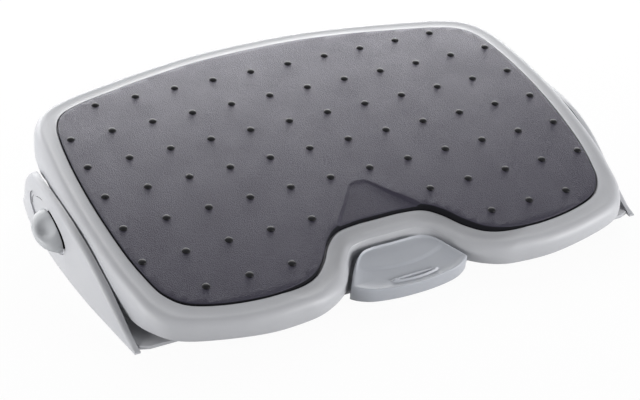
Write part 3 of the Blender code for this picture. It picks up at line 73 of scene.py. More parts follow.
# The rim in section: share of the way from mat to outer wall, and millimetres below the mat's top.
RIM_SECTION = [
    (0.046, 4.80), (0.046, 2.40), (0.052, 1.85), (0.065, 1.50), (0.085, 1.34), (0.105, 1.38),
    (0.130, 1.52), (0.180, 1.70), (0.280, 1.84), (0.400, 1.80), (0.490, 1.58), (0.560, 1.34),
    (0.620, 1.26), (0.680, 1.42), (0.740, 1.88), (0.800, 2.66), (0.855, 3.72), (0.905, 5.10),
    (0.945, 6.80), (0.975, 8.90), (0.993, 11.4), (1.000, 14.0), (1.000, 20.9), (0.994, 21.6),
    (0.975, 22.0), (0.890, 22.0), (0.872, 21.7), (0.865, 21.0), (0.865, 12.0), (0.852, 9.2), (0.800, 7.9),
]
RIM_STEPS = 12
# Millimetres below the mat's top: the end of the flat band, the outer wall's start and end, and the
# height in which the dip beside the notch fades out. The roll into the wall starts at a share.
BAND_END, WALL_START, WALL_END, DIP_FADE = 5, 14, 22, 9.5
ROLL_START = 0.9
FRONT_RISE = 0.002
# The dip beside the notch: its middle and half sizes as shares of the platform, its steepness and depth.
DIP_MIDDLE = -0.690
DIP_HALF = (0.54, 0.33)
DIP_STEEPNESS = 1.35
DIP_DEPTH = 0.0054
# How many millimetres deeper the side walls reach, at shares of the reach from front to rear.
SIDE_SKIRT = [
    (-1.00, -2.8), (-0.855, -2.6), (-0.80, -1.2), (-0.742, 1.5), (-0.673, 5.3), (-0.60, 8.8), (-0.53, 10.8),
    (-0.45, 10.8), (-0.35, 9.5), (-0.25, 7.4), (-0.15, 4.4), (-0.05, 1.5), (0.05, 0.0), (0.34, 0.0),
    (0.39, 4.0), (0.45, 7.0), (0.56, 7.0), (0.66, 3.0), (0.78, 0.0), (1.00, 0.0),
]
# Across the platform, as shares of its half: where that wall begins to differ, and over what run.
SKIRT_START, SKIRT_RUN = 0.42, 0.3
BOSS_PLACES = [
    (0.19925, 0.0100), (0.19925, 0.0350), (-0.19925, 0.0100), (-0.19925, 0.0350),
    (0.026, -0.0980), (-0.026, -0.0980),
]
BOSS_TOP, BOSS_END = -0.0078, -0.0120
BOSS_FOOT = [(0.0054, 0), (0.0045, -0.0008), (0.0041, -0.0020)]
BOSS_RADII = (0.0040, 0.0017)


def smooth_line(points, steps, closed=False):
    """A smooth curve through points, with `steps` stretches between two of them."""
    points = np.array(points, float)
    count = len(points)
    rows = []
    for index in range(count if closed else count - 1):
        start, end = points[index], points[(index + 1) % count]
        before = points[index - 1] if closed or index else 2 * start - end
        after = points[(index + 2) % count] if closed or index + 2 < count else 2 * end - start
        for step in range(steps):
            s = step / steps
            rows.append(
                start + (end - start) * s * s * (3 - 2 * s)
                + (end - before) / 2 * (s - 2 * s * s + s ** 3) + (after - start) / 2 * (s ** 3 - s * s)
            )
    if not closed:
        rows.append(points[-1])
    return np.array(rows)


def outline(half, steps, size=(HALF_WIDTH, REACH)):
    """A smooth closed outline in metres from the shares of its right half."""
    whole = half + [(-x, y) for x, y in reversed(half[1:-1])]
    return smooth_line(whole, steps, True) * size


def crown(y):
    """The arch of the platform from front to rear."""
    return -y * y / (2 * CROWN_RADIUS)


def notch_dip(x, y):
    """How far the rim sinks beside the pedal notch."""
    away = np.hypot(x / HALF_WIDTH / DIP_HALF[0], (y / REACH - DIP_MIDDLE) / DIP_HALF[1])
    share = np.clip(DIP_STEEPNESS * (1 - away), 0, 1)
    return DIP_DEPTH * share * (2 - share)


def smooth_step(share):
    """A smooth way from 0 to 1."""
    share = np.clip(share, 0, 1)
    return share * share * (3 - 2 * share)


def read(table, places):
    """Values at places from a table of (place, value) pairs."""
    table = np.array(table)
    return np.interp(places, table[:, 0], table[:, 1])


def corner_skirt(x, y):
    """How much deeper the outer wall reaches along the sides."""
    side = smooth_step((np.abs(x) / HALF_WIDTH - SKIRT_START) / SKIRT_RUN)
    return side * read(SIDE_SKIRT, y / REACH) / 1000


def add_loops(shape, loops):
    """Closed rows of points joined by quads. Gives the rows of vertices back."""
    rows = [[shape.verts.new(point) for point in loop] for loop in loops]
    for row, following in zip(rows, rows[1:]):
        for index in range(len(row)):
            after = (index + 1) % len(row)
            shape.faces.new((row[index], row[after], following[after], following[index]))
    return rows


def solid(loops, shape=None):
    """A body of closed rows of points with faces at both ends, in a new mesh or in a given one."""
    shape = shape or bmesh.new()
    rows = add_loops(shape, loops)
    shape.faces.new(rows[0])
    shape.faces.new(rows[-1])
    return shape


def circle(count):
    """Angles evenly spread over one turn."""
    return np.linspace(0, 2 * math.pi, count, endpoint=False)


def fill_cells(shape, ring, pitch=0.008):
    """A face inside a ring of vertices, cut into square cells so that it can take the arch."""
    made = [shape.faces.new(ring)]
    for axis in (1, 0):
        normal = (1 - axis, axis, 0)
        low = min(v.co[axis] for v in ring)
        high = max(v.co[axis] for v in ring)
        level = math.ceil(low / pitch) * pitch
        while level < high:
            edges = {e for f in made for e in f.edges}
            verts = {v for f in made for v in f.verts}
            cut = bmesh.ops.bisect_plane(
                shape, geom=[*made, *edges, *verts], dist=1e-6,
                plane_co=[level * share for share in normal], plane_no=normal
            )
            made = [part for part in cut["geom"] if isinstance(part, bmesh.types.BMFace)]
            level += pitch
    bmesh.ops.triangulate(shape, faces=[face for face in made if len(face.verts) > 4])


def placed(name, data):
    """An object in the scene with its data."""
    made = bpy.data.objects.new(name, data)
    bpy.context.scene.collection.objects.link(made)
    return made


def mesh_of(name, shape):
    """The mesh of a shape, which is used up, with its faces turned outwards."""
    bmesh.ops.recalc_face_normals(shape, faces=shape.faces)
    mesh = bpy.data.meshes.new(name)
    shape.to_mesh(mesh)
    shape.free()
    return mesh


def piece(name, shape, body, finish, *nodes, place=None, sharp=38):
    """Finish a shape as a piece of the footrest on its body, in place of its CAD nodes."""
    mesh = mesh_of(name, shape)
    if place is not None:
        mesh.transform(place)
    mesh.shade_smooth()
    mesh.set_sharp_from_angle(angle=math.radians(sharp))
    made = placed(name, mesh)
    mesh.materials.append(finish)
    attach(made, body)
    if nodes:
        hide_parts(*nodes)
    return made


def surface_group(name, *labels):
    """A shader group with float inputs: its tree, object coordinates, inputs and outputs to fill."""
    tree = bpy.data.node_groups.new(name, "ShaderNodeTree")
    for label in labels:
        tree.interface.new_socket(label, in_out="INPUT", socket_type="NodeSocketFloat")
    for label, kind in (("Mask", "Float"), ("Roughness", "Float"), ("Normal", "Vector")):
        tree.interface.new_socket(label, in_out="OUTPUT", socket_type="NodeSocket" + kind)
    position = tree.nodes.new("ShaderNodeTexCoord").outputs["Object"]
    return tree, position, tree.nodes.new("NodeGroupInput").outputs, tree.nodes.new("NodeGroupOutput").inputs


def feed(tree, value, socket):
    """Link an output to an input socket, or set the input to a value."""
    if isinstance(value, bpy.types.NodeSocket):
        tree.links.new(value, socket)
    else:
        socket.default_value = value


def wired(tree, kind, **values):
    """The outputs of a new node, whose inputs are set or fed by their names."""
    node = tree.nodes.new(kind)
    for label, value in values.items():
        feed(tree, value, node.inputs[label])
    return node.outputs


def noise(tree, position, scale, detail, roughness=0.5, output="Fac"):
    """A noise texture at given coordinates."""
    return wired(tree, "ShaderNodeTexNoise", Vector=position, Scale=scale, Detail=detail,
                 Roughness=roughness)[output]


def spread(tree, value, low, high, source_low=0.3, source_high=0.7):
    """A value mapped from one range to another."""
    ends = {"From Min": source_low, "From Max": source_high, "To Min": low, "To Max": high}
    return wired(tree, "ShaderNodeMapRange", Value=value, **ends)["Result"]


def combine(tree, operation, first, second):
    """Two values put together by a Math node."""
    node = tree.nodes.new("ShaderNodeMath")
    node.operation = operation
    feed(tree, first, node.inputs[0])
    feed(tree, second, node.inputs[1])
    return node.outputs["Value"]


def bump(tree, height, strength, distance):
    """The normal that a height bends."""
    return wired(tree, "ShaderNodeBump", Height=height, Strength=strength, Distance=distance)["Normal"]


# Moulded plastic: a fine even grain, faint flow marks, and slightly shinier rubbed edges.
moulded, position, given, wanted = surface_group(
    "moulded_grain", "Grain size", "Grain depth", "Rest roughness")
fine = noise(moulded, position, combine(moulded, "DIVIDE", 2600, given["Grain size"]), 2)
flow = noise(moulded, position, 9, 3)
mottle = noise(moulded, position, 60, 4)
edges = wired(moulded, "ShaderNodeNewGeometry")["Pointiness"]
rubbed = combine(moulded, "MULTIPLY", spread(moulded, edges, 0, 1, 0.52, 0.60), 0.18)
broad = combine(moulded, "MULTIPLY", spread(moulded, flow, -0.5, 0.5), 0.6)
small = combine(moulded, "MULTIPLY", spread(moulded, mottle, -0.5, 0.5), 0.4)
feed(moulded, combine(moulded, "ADD", broad, small), wanted["Mask"])
rough = combine(moulded, "ADD", given["Rest roughness"], spread(moulded, mottle, -0.03, 0.04))
feed(moulded, combine(moulded, "SUBTRACT", rough, rubbed), wanted["Roughness"])
feed(moulded, bump(moulded, fine, given["Grain depth"], 0.00012), wanted["Normal"])


def finish(name, group, dark, light, skin, shader_settings=()):
    """A Principled material on a surface group, whose inputs are set by the three numbers of `skin`."""
    made = bpy.data.materials.new(name)
    made.use_nodes = True
    tree = made.node_tree
    shader = tree.nodes["Principled BSDF"]
    surface = tree.nodes.new("ShaderNodeGroup")
    surface.node_tree = group
    for socket, value in zip(surface.inputs, skin):
        socket.default_value = value
    shades = tree.nodes.new("ShaderNodeValToRGB")
    shades.color_ramp.elements[0].color = (*dark, 1)
    shades.color_ramp.elements[1].color = (*light, 1)
    feed(tree, spread(tree, surface.outputs["Mask"], 0, 1, -0.5, 0.5), shades.inputs["Fac"])
    feed(tree, shades.outputs["Color"], shader.inputs["Base Color"])
    for label in ("Roughness", "Normal"):
        feed(tree, surface.outputs[label], shader.inputs[label])
    for label, value in dict(shader_settings).items():
        shader.inputs[label].default_value = value
    return made


shell_grey = finish("light_grey_plastic", moulded, (0.452, 0.458, 0.482), (0.490, 0.495, 0.517),
                    (1.0, 0.35, 0.46))

rim_loop = outline(RIM_OUTLINE, RIM_STEPS)
mat_loop = outline(MAT_OUTLINE, RIM_STEPS)
shape = bmesh.new()
loops = []
for share, drop in RIM_SECTION:
    flat = mat_loop + (rim_loop - mat_loop) * share
    x, y = flat.T
    level = np.full(len(flat), -drop / 1000)
    if drop > WALL_START:
        down = (drop - WALL_START) / (WALL_END - WALL_START)
        level += (FRONT_RISE * np.clip(-y / REACH, 0, 1) - corner_skirt(x, y)) * down
    elif drop < BAND_END:
        level -= notch_dip(x, y)
    elif share > ROLL_START:
        level -= notch_dip(x, y) * (WALL_START - drop) / DIP_FADE
    loops.append(np.column_stack([flat, level]))
rows = add_loops(shape, loops)
fill_cells(shape, rows[0])
fill_cells(shape, rows[-1])
for corner in shape.verts:
    corner.co.z += crown(corner.co.y)
for x, y in BOSS_PLACES:
    foot = [(radius, crown(y) + BOSS_TOP + height) for radius, height in BOSS_FOOT]
    solid([
        [(x + radius * math.cos(a), y + radius * math.sin(a), level) for a in circle(28)]
        for radius, level in foot + [(radius, BOSS_END) for radius in BOSS_RADII]
    ], shape)
piece("shell", shape, "platform", shell_grey, "platform_shell", place=TILTED, sharp=42)

# -------- rubber mat
# A thick moulded rubber mat dropped into the shell. Its top has a fine leather grain, its edge is a
# little rounded, and at the notch it slopes down in a bare fan with a step along each side.
MAT_THICK = 0.0045
FAN_SIDE = [
    (0.013, -0.290), (0.033, -0.303), (0.052, -0.334), (0.089, -0.403), (0.137, -0.482), (0.168, -0.540),
    (0.200, -0.610),
]
FAN_TOP = -0.0517
FAN_END = -0.1053
FAN_DEPTH = 0.0034
# The fan's rear step: the share of its length that it takes, and its share of the depth.
FAN_START = (0.10, 0.22)
# The step at the fan's side: distances inside its line, and shares of the depth there. No row of
# points runs along the last.
FAN_STEP = [
    (-0.0008, 0.00), (0.0, 0.06), (0.0006, 0.24), (0.0012, 0.46), (0.0019, 0.68), (0.0027, 0.84),
    (0.0085, 1.00),
]
# The mat's edge: distances inside its outline, and drops below its top.
MAT_EDGE = [(0.0, 0.0045), (0.0, 0.0010), (0.00012, 0.0006), (0.0004, 0.0002), (0.0009, 0.0)]
MAT_STEPS = 16
# Cell sizes of the mat's underside, its top and its fan.
UNDER_CELLS, TOP_CELLS, FAN_CELLS = 0.02, 0.007, 0.002
# Faces that lean more than this, as a cosine, are the mat's side, which is painted darker than its
# top as shade.
STEEP = 0.45

grained, position, given, wanted = surface_group(
    "leather_grain", "Cell size", "Grain depth", "Rest roughness")
shift = wired(grained, "ShaderNodeMixRGB", Fac=0.0012, Color1=position,
              Color2=noise(grained, position, 700, 3, output="Color"))
cells = grained.nodes.new("ShaderNodeTexVoronoi")
cells.feature = "DISTANCE_TO_EDGE"
feed(grained, shift["Color"], cells.inputs["Vector"])
feed(grained, combine(grained, "DIVIDE", 640, given["Cell size"]), cells.inputs["Scale"])
creases = spread(grained, cells.outputs["Distance"], 0, 1, 0.0, 0.22)
grit = noise(grained, position, 2100, 3, 0.6)
patches = noise(grained, position, 28, 4, 0.6)
clouds = noise(grained, position, 5, 3)
height = combine(grained, "MULTIPLY", creases, 0.7)
height = combine(grained, "ADD", height, combine(grained, "MULTIPLY", grit, 0.6))
feed(grained, bump(grained, height, given["Grain depth"], 0.00022), wanted["Normal"])
tone = combine(grained, "ADD", spread(grained, patches, -0.25, 0.25), spread(grained, clouds, -0.2, 0.2))
# The grain's creases are painted darker, as the shade that falls in them.
tone = combine(grained, "ADD", tone, spread(grained, creases, -0.12, 0.05, 0, 1))
feed(grained, tone, wanted["Mask"])
rough = combine(grained, "ADD", given["Rest roughness"], spread(grained, patches, 0.05, -0.05))
feed(grained, rough, wanted["Roughness"])

mat_rubber = finish(
    "mat_rubber", grained, (0.0155, 0.014, 0.024), (0.026, 0.024, 0.038), (1.0, 0.75, 0.43),
    {"Specular IOR Level": 0.30, "Specular Tint": (0.90, 0.87, 1.0, 1),
     "Sheen Weight": 0.12, "Sheen Roughness": 0.45, "Sheen Tint": (0.84, 0.82, 1.0, 1)},
)
# The mat's side: the mat's rubber painted darker, as shade.
mat_side_painted_shade = finish("mat_side_painted_shade_rubber", grained, (0.006, 0.006, 0.008), (0.011, 0.011, 0.014), (0.5, 0.3, 0.75),
                  {"Specular IOR Level": 0.12})


def repaint(made, finish, chosen):
    """Give a piece's chosen faces a second material."""
    made.data.materials.append(finish)
    for face in made.data.polygons:
        face.material_index = 1 if chosen(face) else 0


def offset_line(line, distance):
    """An open line moved sideways, to its left as it is followed."""
    ahead = np.gradient(line, axis=0)
    ahead /= np.linalg.norm(ahead, axis=1)[:, None]
    return line + np.column_stack([-ahead[:, 1], ahead[:, 0]]) * distance


def fan_depth(y):
    """How deep the fan lies below the mat's top."""
    share = np.clip((FAN_TOP - y) / (FAN_TOP - FAN_END), 0, 1.2)
    run, first = FAN_START
    return FAN_DEPTH * (first * smooth_step(share / run) + (1 - first) * share)


half_side = [(x * HALF_WIDTH, y * REACH) for x, y in FAN_SIDE]
fan_line = smooth_line([(-x, y) for x, y in reversed(half_side)] + half_side, 12)
fan_ladder = [offset_line(fan_line, -inside) for inside, _ in FAN_STEP[:-1]]


def cross(first, second):
    """The cross product of two flat vectors."""
    return first[0] * second[1] - first[1] * second[0]


def inside_fan(points):
    """Signed distance of points inside the fan's line."""
    ahead = np.diff(fan_line, axis=0)
    length = np.linalg.norm(ahead, axis=1)
    best = np.full(len(points), 1e9)
    side = np.zeros(len(points))
    for start, step, size in zip(fan_line[:-1], ahead, length):
        along = np.clip(((points - start) @ step) / size ** 2, 0, 1)
        gap = points - start - along[:, None] * step
        far = np.linalg.norm(gap, axis=1)
        sign = np.sign(cross(gap.T, step))
        closer = far < best - 1e-12
        best[closer] = far[closer]
        side[closer] = sign[closer]
    return best * side


def mat_level(points):
    """The mat's top at points, before the arch."""
    return -fan_depth(points[:, 1]) * read(FAN_STEP, inside_fan(points))


mat_edge = outline(MAT_OUTLINE, MAT_STEPS)
mat_out = outline(RIM_OUTLINE, MAT_STEPS) - mat_edge
mat_out /= np.linalg.norm(mat_out, axis=1)[:, None]


def along_edge(place, inside):
    """A point on the mat's edge line, `inside` it, at a place counted in samples."""
    index = np.floor(place).astype(int) % len(mat_edge)
    rest = (place - np.floor(place))[:, None]
    after = (index + 1) % len(mat_edge)
    edge = mat_edge[index] * (1 - rest) + mat_edge[after] * rest
    out = mat_out[index] * (1 - rest) + mat_out[after] * rest
    return edge - out * inside


def crossings(line, inside):
    """The two places where a fan line leaves the mat over its front edge."""
    found = []
    places = np.linspace(0, len(mat_edge), len(mat_edge) * 6 + 1)
    ring = along_edge(places, inside)
    for end in (line, line[::-1]):
        best = None
        for start, stop in zip(end[:-1], end[1:]):
            for index in range(len(ring) - 1):
                a, b = ring[index], ring[index + 1]
                if max(a[1], b[1]) > FAN_TOP or abs(a[0] - start[0]) > 0.02:
                    continue
                edge_step, line_step = b - a, stop - start
                slant = cross(edge_step, line_step)
                if abs(slant) < 1e-15:
                    continue
                t = cross(start - a, line_step) / slant
                u = cross(start - a, edge_step) / slant
                if 0 <= t < 1 and 0 <= u < 1:
                    best = (places[index] + t * (places[1] - places[0]), start + u * line_step)
                    break
            if best:
                break
        found.append(best)
    return found


ends = [crossings(line, MAT_EDGE[-1][0]) for line in fan_ladder]
places = sorted({*range(len(mat_edge)), *[end[0] for pair in ends for end in pair]})
places = np.array(places, float)
shape = bmesh.new()
loops = []
for inside, drop in MAT_EDGE:
    flat = along_edge(places, inside)
    level = mat_level(flat) - drop if drop < MAT_THICK else -MAT_THICK - notch_dip(flat[:, 0], flat[:, 1])
    loops.append(np.column_stack([flat, level]))
rows = add_loops(shape, loops)
fill_cells(shape, rows[0], UNDER_CELLS)
ring = rows[-1]
at = dict(zip(places, ring))
ladder = []
for line, (left_end, right_end) in zip(fan_ladder, ends):
    inner = [p for p in line if p[1] > max(left_end[1][1], right_end[1][1]) + 0.0002 or abs(p[0]) < 0.02]
    verts = [shape.verts.new((p[0], p[1], 0)) for p in inner]
    ladder.append([at[left_end[0]], *verts, at[right_end[0]]])
for row, following in zip(ladder, ladder[1:]):
    a, b = 0, 0
    while a < len(row) - 1 or b < len(following) - 1:
        ahead_a = (row[a + 1].co - following[b].co).length if a < len(row) - 1 else 1
        ahead_b = (following[b + 1].co - row[a].co).length if b < len(following) - 1 else 1
        if ahead_a < ahead_b:
            shape.faces.new((row[a], row[a + 1], following[b]))
            a += 1
        else:
            shape.faces.new((row[a], following[b + 1], following[b]))
            b += 1
for line, within, pitch in ((ladder[0], False, TOP_CELLS), (ladder[-1], True, FAN_CELLS)):
    start, stop = sorted((ring.index(line[0]), ring.index(line[-1])))
    part = ring[start:stop + 1] if within else ring[stop:] + ring[:start + 1]
    if part[0] is line[0]:
        part = part[::-1]
    fill_cells(shape, part + line[1:-1], pitch)
levels = mat_level(np.array([(v.co.x, v.co.y) for v in shape.verts]))
on_ring = {v for row in rows[:-1] for v in row}
for corner, level in zip(list(shape.verts), levels):
    if corner not in on_ring and corner.co.z > -1e-5:
        corner.co.z = level
    corner.co.z += crown(corner.co.y)
mat = piece("mat", shape, "platform", mat_rubber, "rubber_mat", place=TILTED, sharp=50)
upward = TILTED.to_3x3() @ Vector((0, 0, 1))
repaint(mat, mat_side_painted_shade, lambda face: abs(face.normal.dot(upward)) < STEEP)

# -------- mat studs
# Seven rows of low round studs moulded in one with the mat, for the soles to roll on. They are
# rubbed smoother than the grain between them, and painted darker than the mat as shade. Each row:
# its place, and its first and last column.
STUD_ROWS = [(3, 0, 4), (2, 0, 5), (1, 0, 5), (0, 0, 5), (-1, 0, 5), (-2, 1, 5), (-3, 2, 4)]
STUD_PITCH = (0.158 * HALF_WIDTH, 0.2303 * REACH)
STUD_SIZE = (0.0035, 0.0019)
STUD_SINK = 0.0002
# The studs are the mat's rubber painted near black, as the shade on them.
stud_rubber_painted_shade = finish(
    "stud_rubber_painted_shade", grained, (0.003, 0.003, 0.004), (0.006, 0.006, 0.008), (0.6, 0.08, 0.30),
    {"Specular IOR Level": 0.15, "Sheen Weight": 0.30, "Sheen Roughness": 0.25,
     "Sheen Tint": (0.90, 0.89, 1.0, 1)},
)
studs = bpy.data.node_groups.new("studs_on_points", "GeometryNodeTree")
studs.interface.new_socket("Points", in_out="INPUT", socket_type="NodeSocketGeometry")
radius_socket = studs.interface.new_socket("Stud radius", in_out="INPUT", socket_type="NodeSocketFloat")
height_socket = studs.interface.new_socket("Stud height", in_out="INPUT", socket_type="NodeSocketFloat")
studs.interface.new_socket("Studs", in_out="OUTPUT", socket_type="NodeSocketGeometry")
given, wanted = studs.nodes.new("NodeGroupInput").outputs, studs.nodes.new("NodeGroupOutput").inputs
ball = wired(studs, "GeometryNodeMeshUVSphere", Segments=24, Rings=14, Radius=1)["Mesh"]
size = wired(studs, "ShaderNodeCombineXYZ", X=given["Stud radius"], Y=given["Stud radius"],
             Z=given["Stud height"])["Vector"]
spots = wired(studs, "GeometryNodeMeshToPoints", Mesh=given["Points"])["Points"]
put = wired(studs, "GeometryNodeInstanceOnPoints", Points=spots, Instance=ball, Scale=size)["Instances"]
real = wired(studs, "GeometryNodeRealizeInstances", Geometry=put)["Geometry"]
painted = wired(studs, "GeometryNodeSetMaterial", Geometry=real, Material=stud_rubber_painted_shade)["Geometry"]
feed(studs, painted, wanted["Studs"])


def applied(made, step):
    """The mesh of an object after a modifier, which is removed again."""
    graph = bpy.context.evaluated_depsgraph_get()
    mesh = bpy.data.meshes.new_from_object(made.evaluated_get(graph))
    made.modifiers.remove(step)
    return mesh


stud_spots = []
for row, nearest, farthest in STUD_ROWS:
    y = row * STUD_PITCH[1]
    for column in range(nearest, farthest + 1):
        x = (column + 0.5) * STUD_PITCH[0]
        stud_spots += [(side * x, y, crown(y) - STUD_SINK) for side in (-1, 1)]
points = bpy.data.meshes.new("stud_spots")
points.from_pydata(stud_spots, [], [])
seed = placed("stud_spots", points)
step = seed.modifiers.new("grow", "NODES")
step.node_group = studs
for socket, value in zip((radius_socket, height_socket), STUD_SIZE):
    step[socket.identifier] = value
shape = bmesh.new()
shape.from_mesh(applied(seed, step))
bpy.data.objects.remove(seed)
piece("mat_studs", shape, "platform", stud_rubber_painted_shade, place=TILTED, sharp=80)

# -------- foot pedal
# The pedal that frees the tilt: a hollow dished moulding that fills the notch, painted a darker,
# bluer grey than the shell as shade. It has a thin bead along its back, a shallow dish for the toes
# and two crescent ridges as a grip.
PEDAL_REAR = -0.6807 * REACH
PEDAL_SIZE = (0.2235 * HALF_WIDTH, 0.2633 * REACH)
PEDAL_OUTLINE = [
    (0.00, 0.00), (0.42, 0.00), (0.63, 0.08), (0.82, 0.33), (0.99, 0.64), (1.00, 0.74), (0.76, 0.90),
    (0.38, 0.98), (0.00, 1.00),
]
PEDAL_MIDDLE = 0.55
PEDAL_SINK = 0.009
# Underneath and up to the outline's edge: its size as a share, and the height.
PEDAL_UNDER = [
    (0.40, -0.0210), (0.878, -0.0210), (0.882, -0.0214), (0.882, -0.0304), (0.888, -0.0306),
    (0.992, -0.0306), (1.000, -0.0302),
]
# In from the outline: its size as a share, and millimetres below the rim of the dish.
PEDAL_LIP = [
    (1.000, 3.40), (0.998, 2.30), (0.992, 1.30), (0.984, 0.65), (0.973, 0.22), (0.960, 0.03), (0.948, 0.00),
    (0.932, 0.12), (0.912, 0.42), (0.885, 0.85), (0.850, 1.30), (0.800, 1.75), (0.730, 2.15), (0.640, 2.45),
    (0.540, 2.62), (0.440, 2.72), (0.340, 2.78), (0.240, 2.80), (0.140, 2.80), (0.060, 2.80),
]
LIP_TOP = 0.948
DISH_START, DISH_END, DISH_RINGS = 0.885, 0.06, 60
PEDAL_STEPS = 10
# As shares of the pedal: the dish's crease, with its bow to the sides, its run and the depth behind it.
CREASE_PLACE, CREASE_BOW, CREASE_RUN, CREASE_DEPTH = 0.45, 0.30, 0.09, 0.50
# The crescent ridges, with their bow, the way between them and their width, and the bead at the back.
RIDGE_PLACE = (0.06, 0.80)
RIDGE_HALF, RIDGE_BOW, RIDGE_APART, RIDGE_WIDTH = 0.42, 0.10, 0.042, 0.032
RIDGE_HEIGHT = 0.0018
BEAD_PLACE, BEAD_WIDTH, BEAD_END, BEAD_FADE = 0.957, 0.028, 0.45, 0.2
BEAD_HEIGHT = 0.0019
DOORWAY_HALF = 0.0126
DOORWAY_REACH = (-0.0065, 0.002)
DOORWAY_LEVELS = (-0.0330, -0.0210)


def lump(away):
    """A smooth hump, 1 where away is 0 and nothing from 1 on to either side."""
    return np.clip(1 - away * away, 0, 1) ** 2


def soften(shape, width, limit=40, segments=2):
    """Round over the sharp edges of a shape."""
    edges = [e for e in shape.edges if len(e.link_faces) == 2 and e.calc_face_angle(0) > math.radians(limit)]
    bmesh.ops.bevel(shape, geom=edges, offset=width, segments=segments, profile=0.5, affect="EDGES",
                    clamp_overlap=True)


def block(low, high):
    """A box from corner to corner."""
    shape = bmesh.new()
    bmesh.ops.create_cube(shape, size=1)
    for corner in shape.verts:
        corner.co = [a + (b - a) * (place + 0.5) for place, a, b in zip(corner.co, low, high)]
    return shape


def carved(shape, *cutters, operation="DIFFERENCE"):
    """A shape after exact booleans with others."""
    target = placed("carved", mesh_of("carved", shape))
    for cutter in cutters:
        tool = placed("cutter", mesh_of("cutter", cutter))
        step = target.modifiers.new("carve", "BOOLEAN")
        step.operation = operation
        step.object = tool
        step.solver = "EXACT"
        target.data = applied(target, step)
        bpy.data.objects.remove(tool)
    result = bmesh.new()
    result.from_mesh(target.data)
    bpy.data.objects.remove(target)
    return result


# The pedal's plastic painted a darker, bluer grey than the shell, as shade.
pedal_shade_grey = finish("pedal_plastic", moulded, (0.395, 0.412, 0.450), (0.435, 0.450, 0.488), (0.9, 0.25, 0.42))
pedal_line = outline(PEDAL_OUTLINE, PEDAL_STEPS, (PEDAL_SIZE[0], -PEDAL_SIZE[1])) + (0, PEDAL_REAR)
pedal_middle = np.array((0, PEDAL_REAR - PEDAL_SIZE[1] * PEDAL_MIDDLE))


def pedal_ring(size):
    """The pedal's outline at a share of its size."""
    return pedal_middle + (pedal_line - pedal_middle) * size


loops = [np.column_stack([pedal_ring(size), np.full(len(pedal_line), level)]) for size, level in PEDAL_UNDER]
sizes = [size for size, _ in PEDAL_LIP if size > DISH_START]
sizes += list(np.linspace(DISH_START, DISH_END, DISH_RINGS))
for size, drop in zip(sizes, read(PEDAL_LIP[::-1], sizes)):
    flat = pedal_ring(size)
    across = flat[:, 0] / PEDAL_SIZE[0]
    along = (PEDAL_REAR - flat[:, 1]) / PEDAL_SIZE[1]
    dish = np.full(len(flat), drop / 1000)
    if size < LIP_TOP:
        front = smooth_step((along - CREASE_PLACE + CREASE_BOW * across ** 2) / CREASE_RUN)
        dish *= CREASE_DEPTH + (1 - CREASE_DEPTH) * front
    end = np.clip(1 - ((across - RIDGE_PLACE[0]) / RIDGE_HALF) ** 2, 0, 1)
    back = along - RIDGE_PLACE[1] + RIDGE_BOW * across ** 2
    pair = sum(lump((back - way * RIDGE_APART * end) / RIDGE_WIDTH) for way in (-1, 1))
    bead = lump((size - BEAD_PLACE) / BEAD_WIDTH) * np.clip((BEAD_END - along) / BEAD_FADE, 0, 1)
    ridge = RIDGE_HEIGHT * pair * np.clip(4 * end, 0, 1) + BEAD_HEIGHT * bead
    loops.append(np.column_stack([flat, crown(flat[:, 1]) - PEDAL_SINK - dish + ridge]))
corners = zip((-DOORWAY_HALF, DOORWAY_HALF), DOORWAY_REACH, DOORWAY_LEVELS)
shape = carved(solid(loops), block(*((x, PEDAL_REAR + y, z) for x, y, z in corners)))
piece("pedal", shape, "pedal", pedal_shade_grey, "foot_pedal", place=TILTED, sharp=50)

# -------- lever, bracket, pin and spring
# Under the platform the pedal is screwed to a pressed steel lever. It rocks on a pin between the
# bracket's ears, and a short coil spring behind the pin keeps its rubber pad on the brake drum.
metal, position, given, wanted = surface_group("metal_skin", "Mark size", "Mark depth", "Rest roughness")
stretched = wired(metal, "ShaderNodeMapping", Vector=position, Scale=(1.0, 0.08, 0.08))["Vector"]
turning = noise(metal, stretched, combine(metal, "DIVIDE", 2400, given["Mark size"]), 3)
blotch = noise(metal, position, 130, 4, 0.6)
speck = noise(metal, position, 900, 2)
tone = combine(metal, "ADD", spread(metal, blotch, -0.35, 0.35), spread(metal, speck, -0.12, 0.12))
feed(metal, tone, wanted["Mask"])
rough = combine(metal, "ADD", given["Rest roughness"], spread(metal, blotch, -0.06, 0.08))
feed(metal, rough, wanted["Roughness"])
feed(metal, bump(metal, turning, given["Mark depth"], 0.00008), wanted["Normal"])
bare = {"Metallic": 1.0}
zinc = finish("zinc_plated_steel", metal, (0.50, 0.51, 0.53), (0.66, 0.67, 0.69), (2.0, 0.3, 0.36), bare)
bright_steel = finish("bright_steel", metal, (0.62, 0.62, 0.62), (0.72, 0.72, 0.72), (0.8, 0.5, 0.22), bare)
spring_steel = finish("spring_steel", metal, (0.30, 0.30, 0.32), (0.42, 0.42, 0.44), (1.0, 0.3, 0.30), bare)
dark_rubber = finish("dark_rubber", grained, (0.020, 0.020, 0.021), (0.032, 0.032, 0.033), (0.7, 0.4, 0.70),
                     {"Specular IOR Level": 0.4})


def rounded(node, body, finish, width, limit=40, segments=2):
    """A copy of a CAD node with its sharp edges rounded over, in the node's place."""
    shape = bmesh.new()
    shape.from_mesh(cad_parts[node].data)
    bmesh.ops.remove_doubles(shape, verts=shape.verts, dist=2e-6)
    bmesh.ops.dissolve_limit(shape, angle_limit=math.radians(0.6), verts=shape.verts, edges=shape.edges)
    soften(shape, width, limit, segments)
    return piece(node + "_fine", shape, body, finish, node, sharp=40)


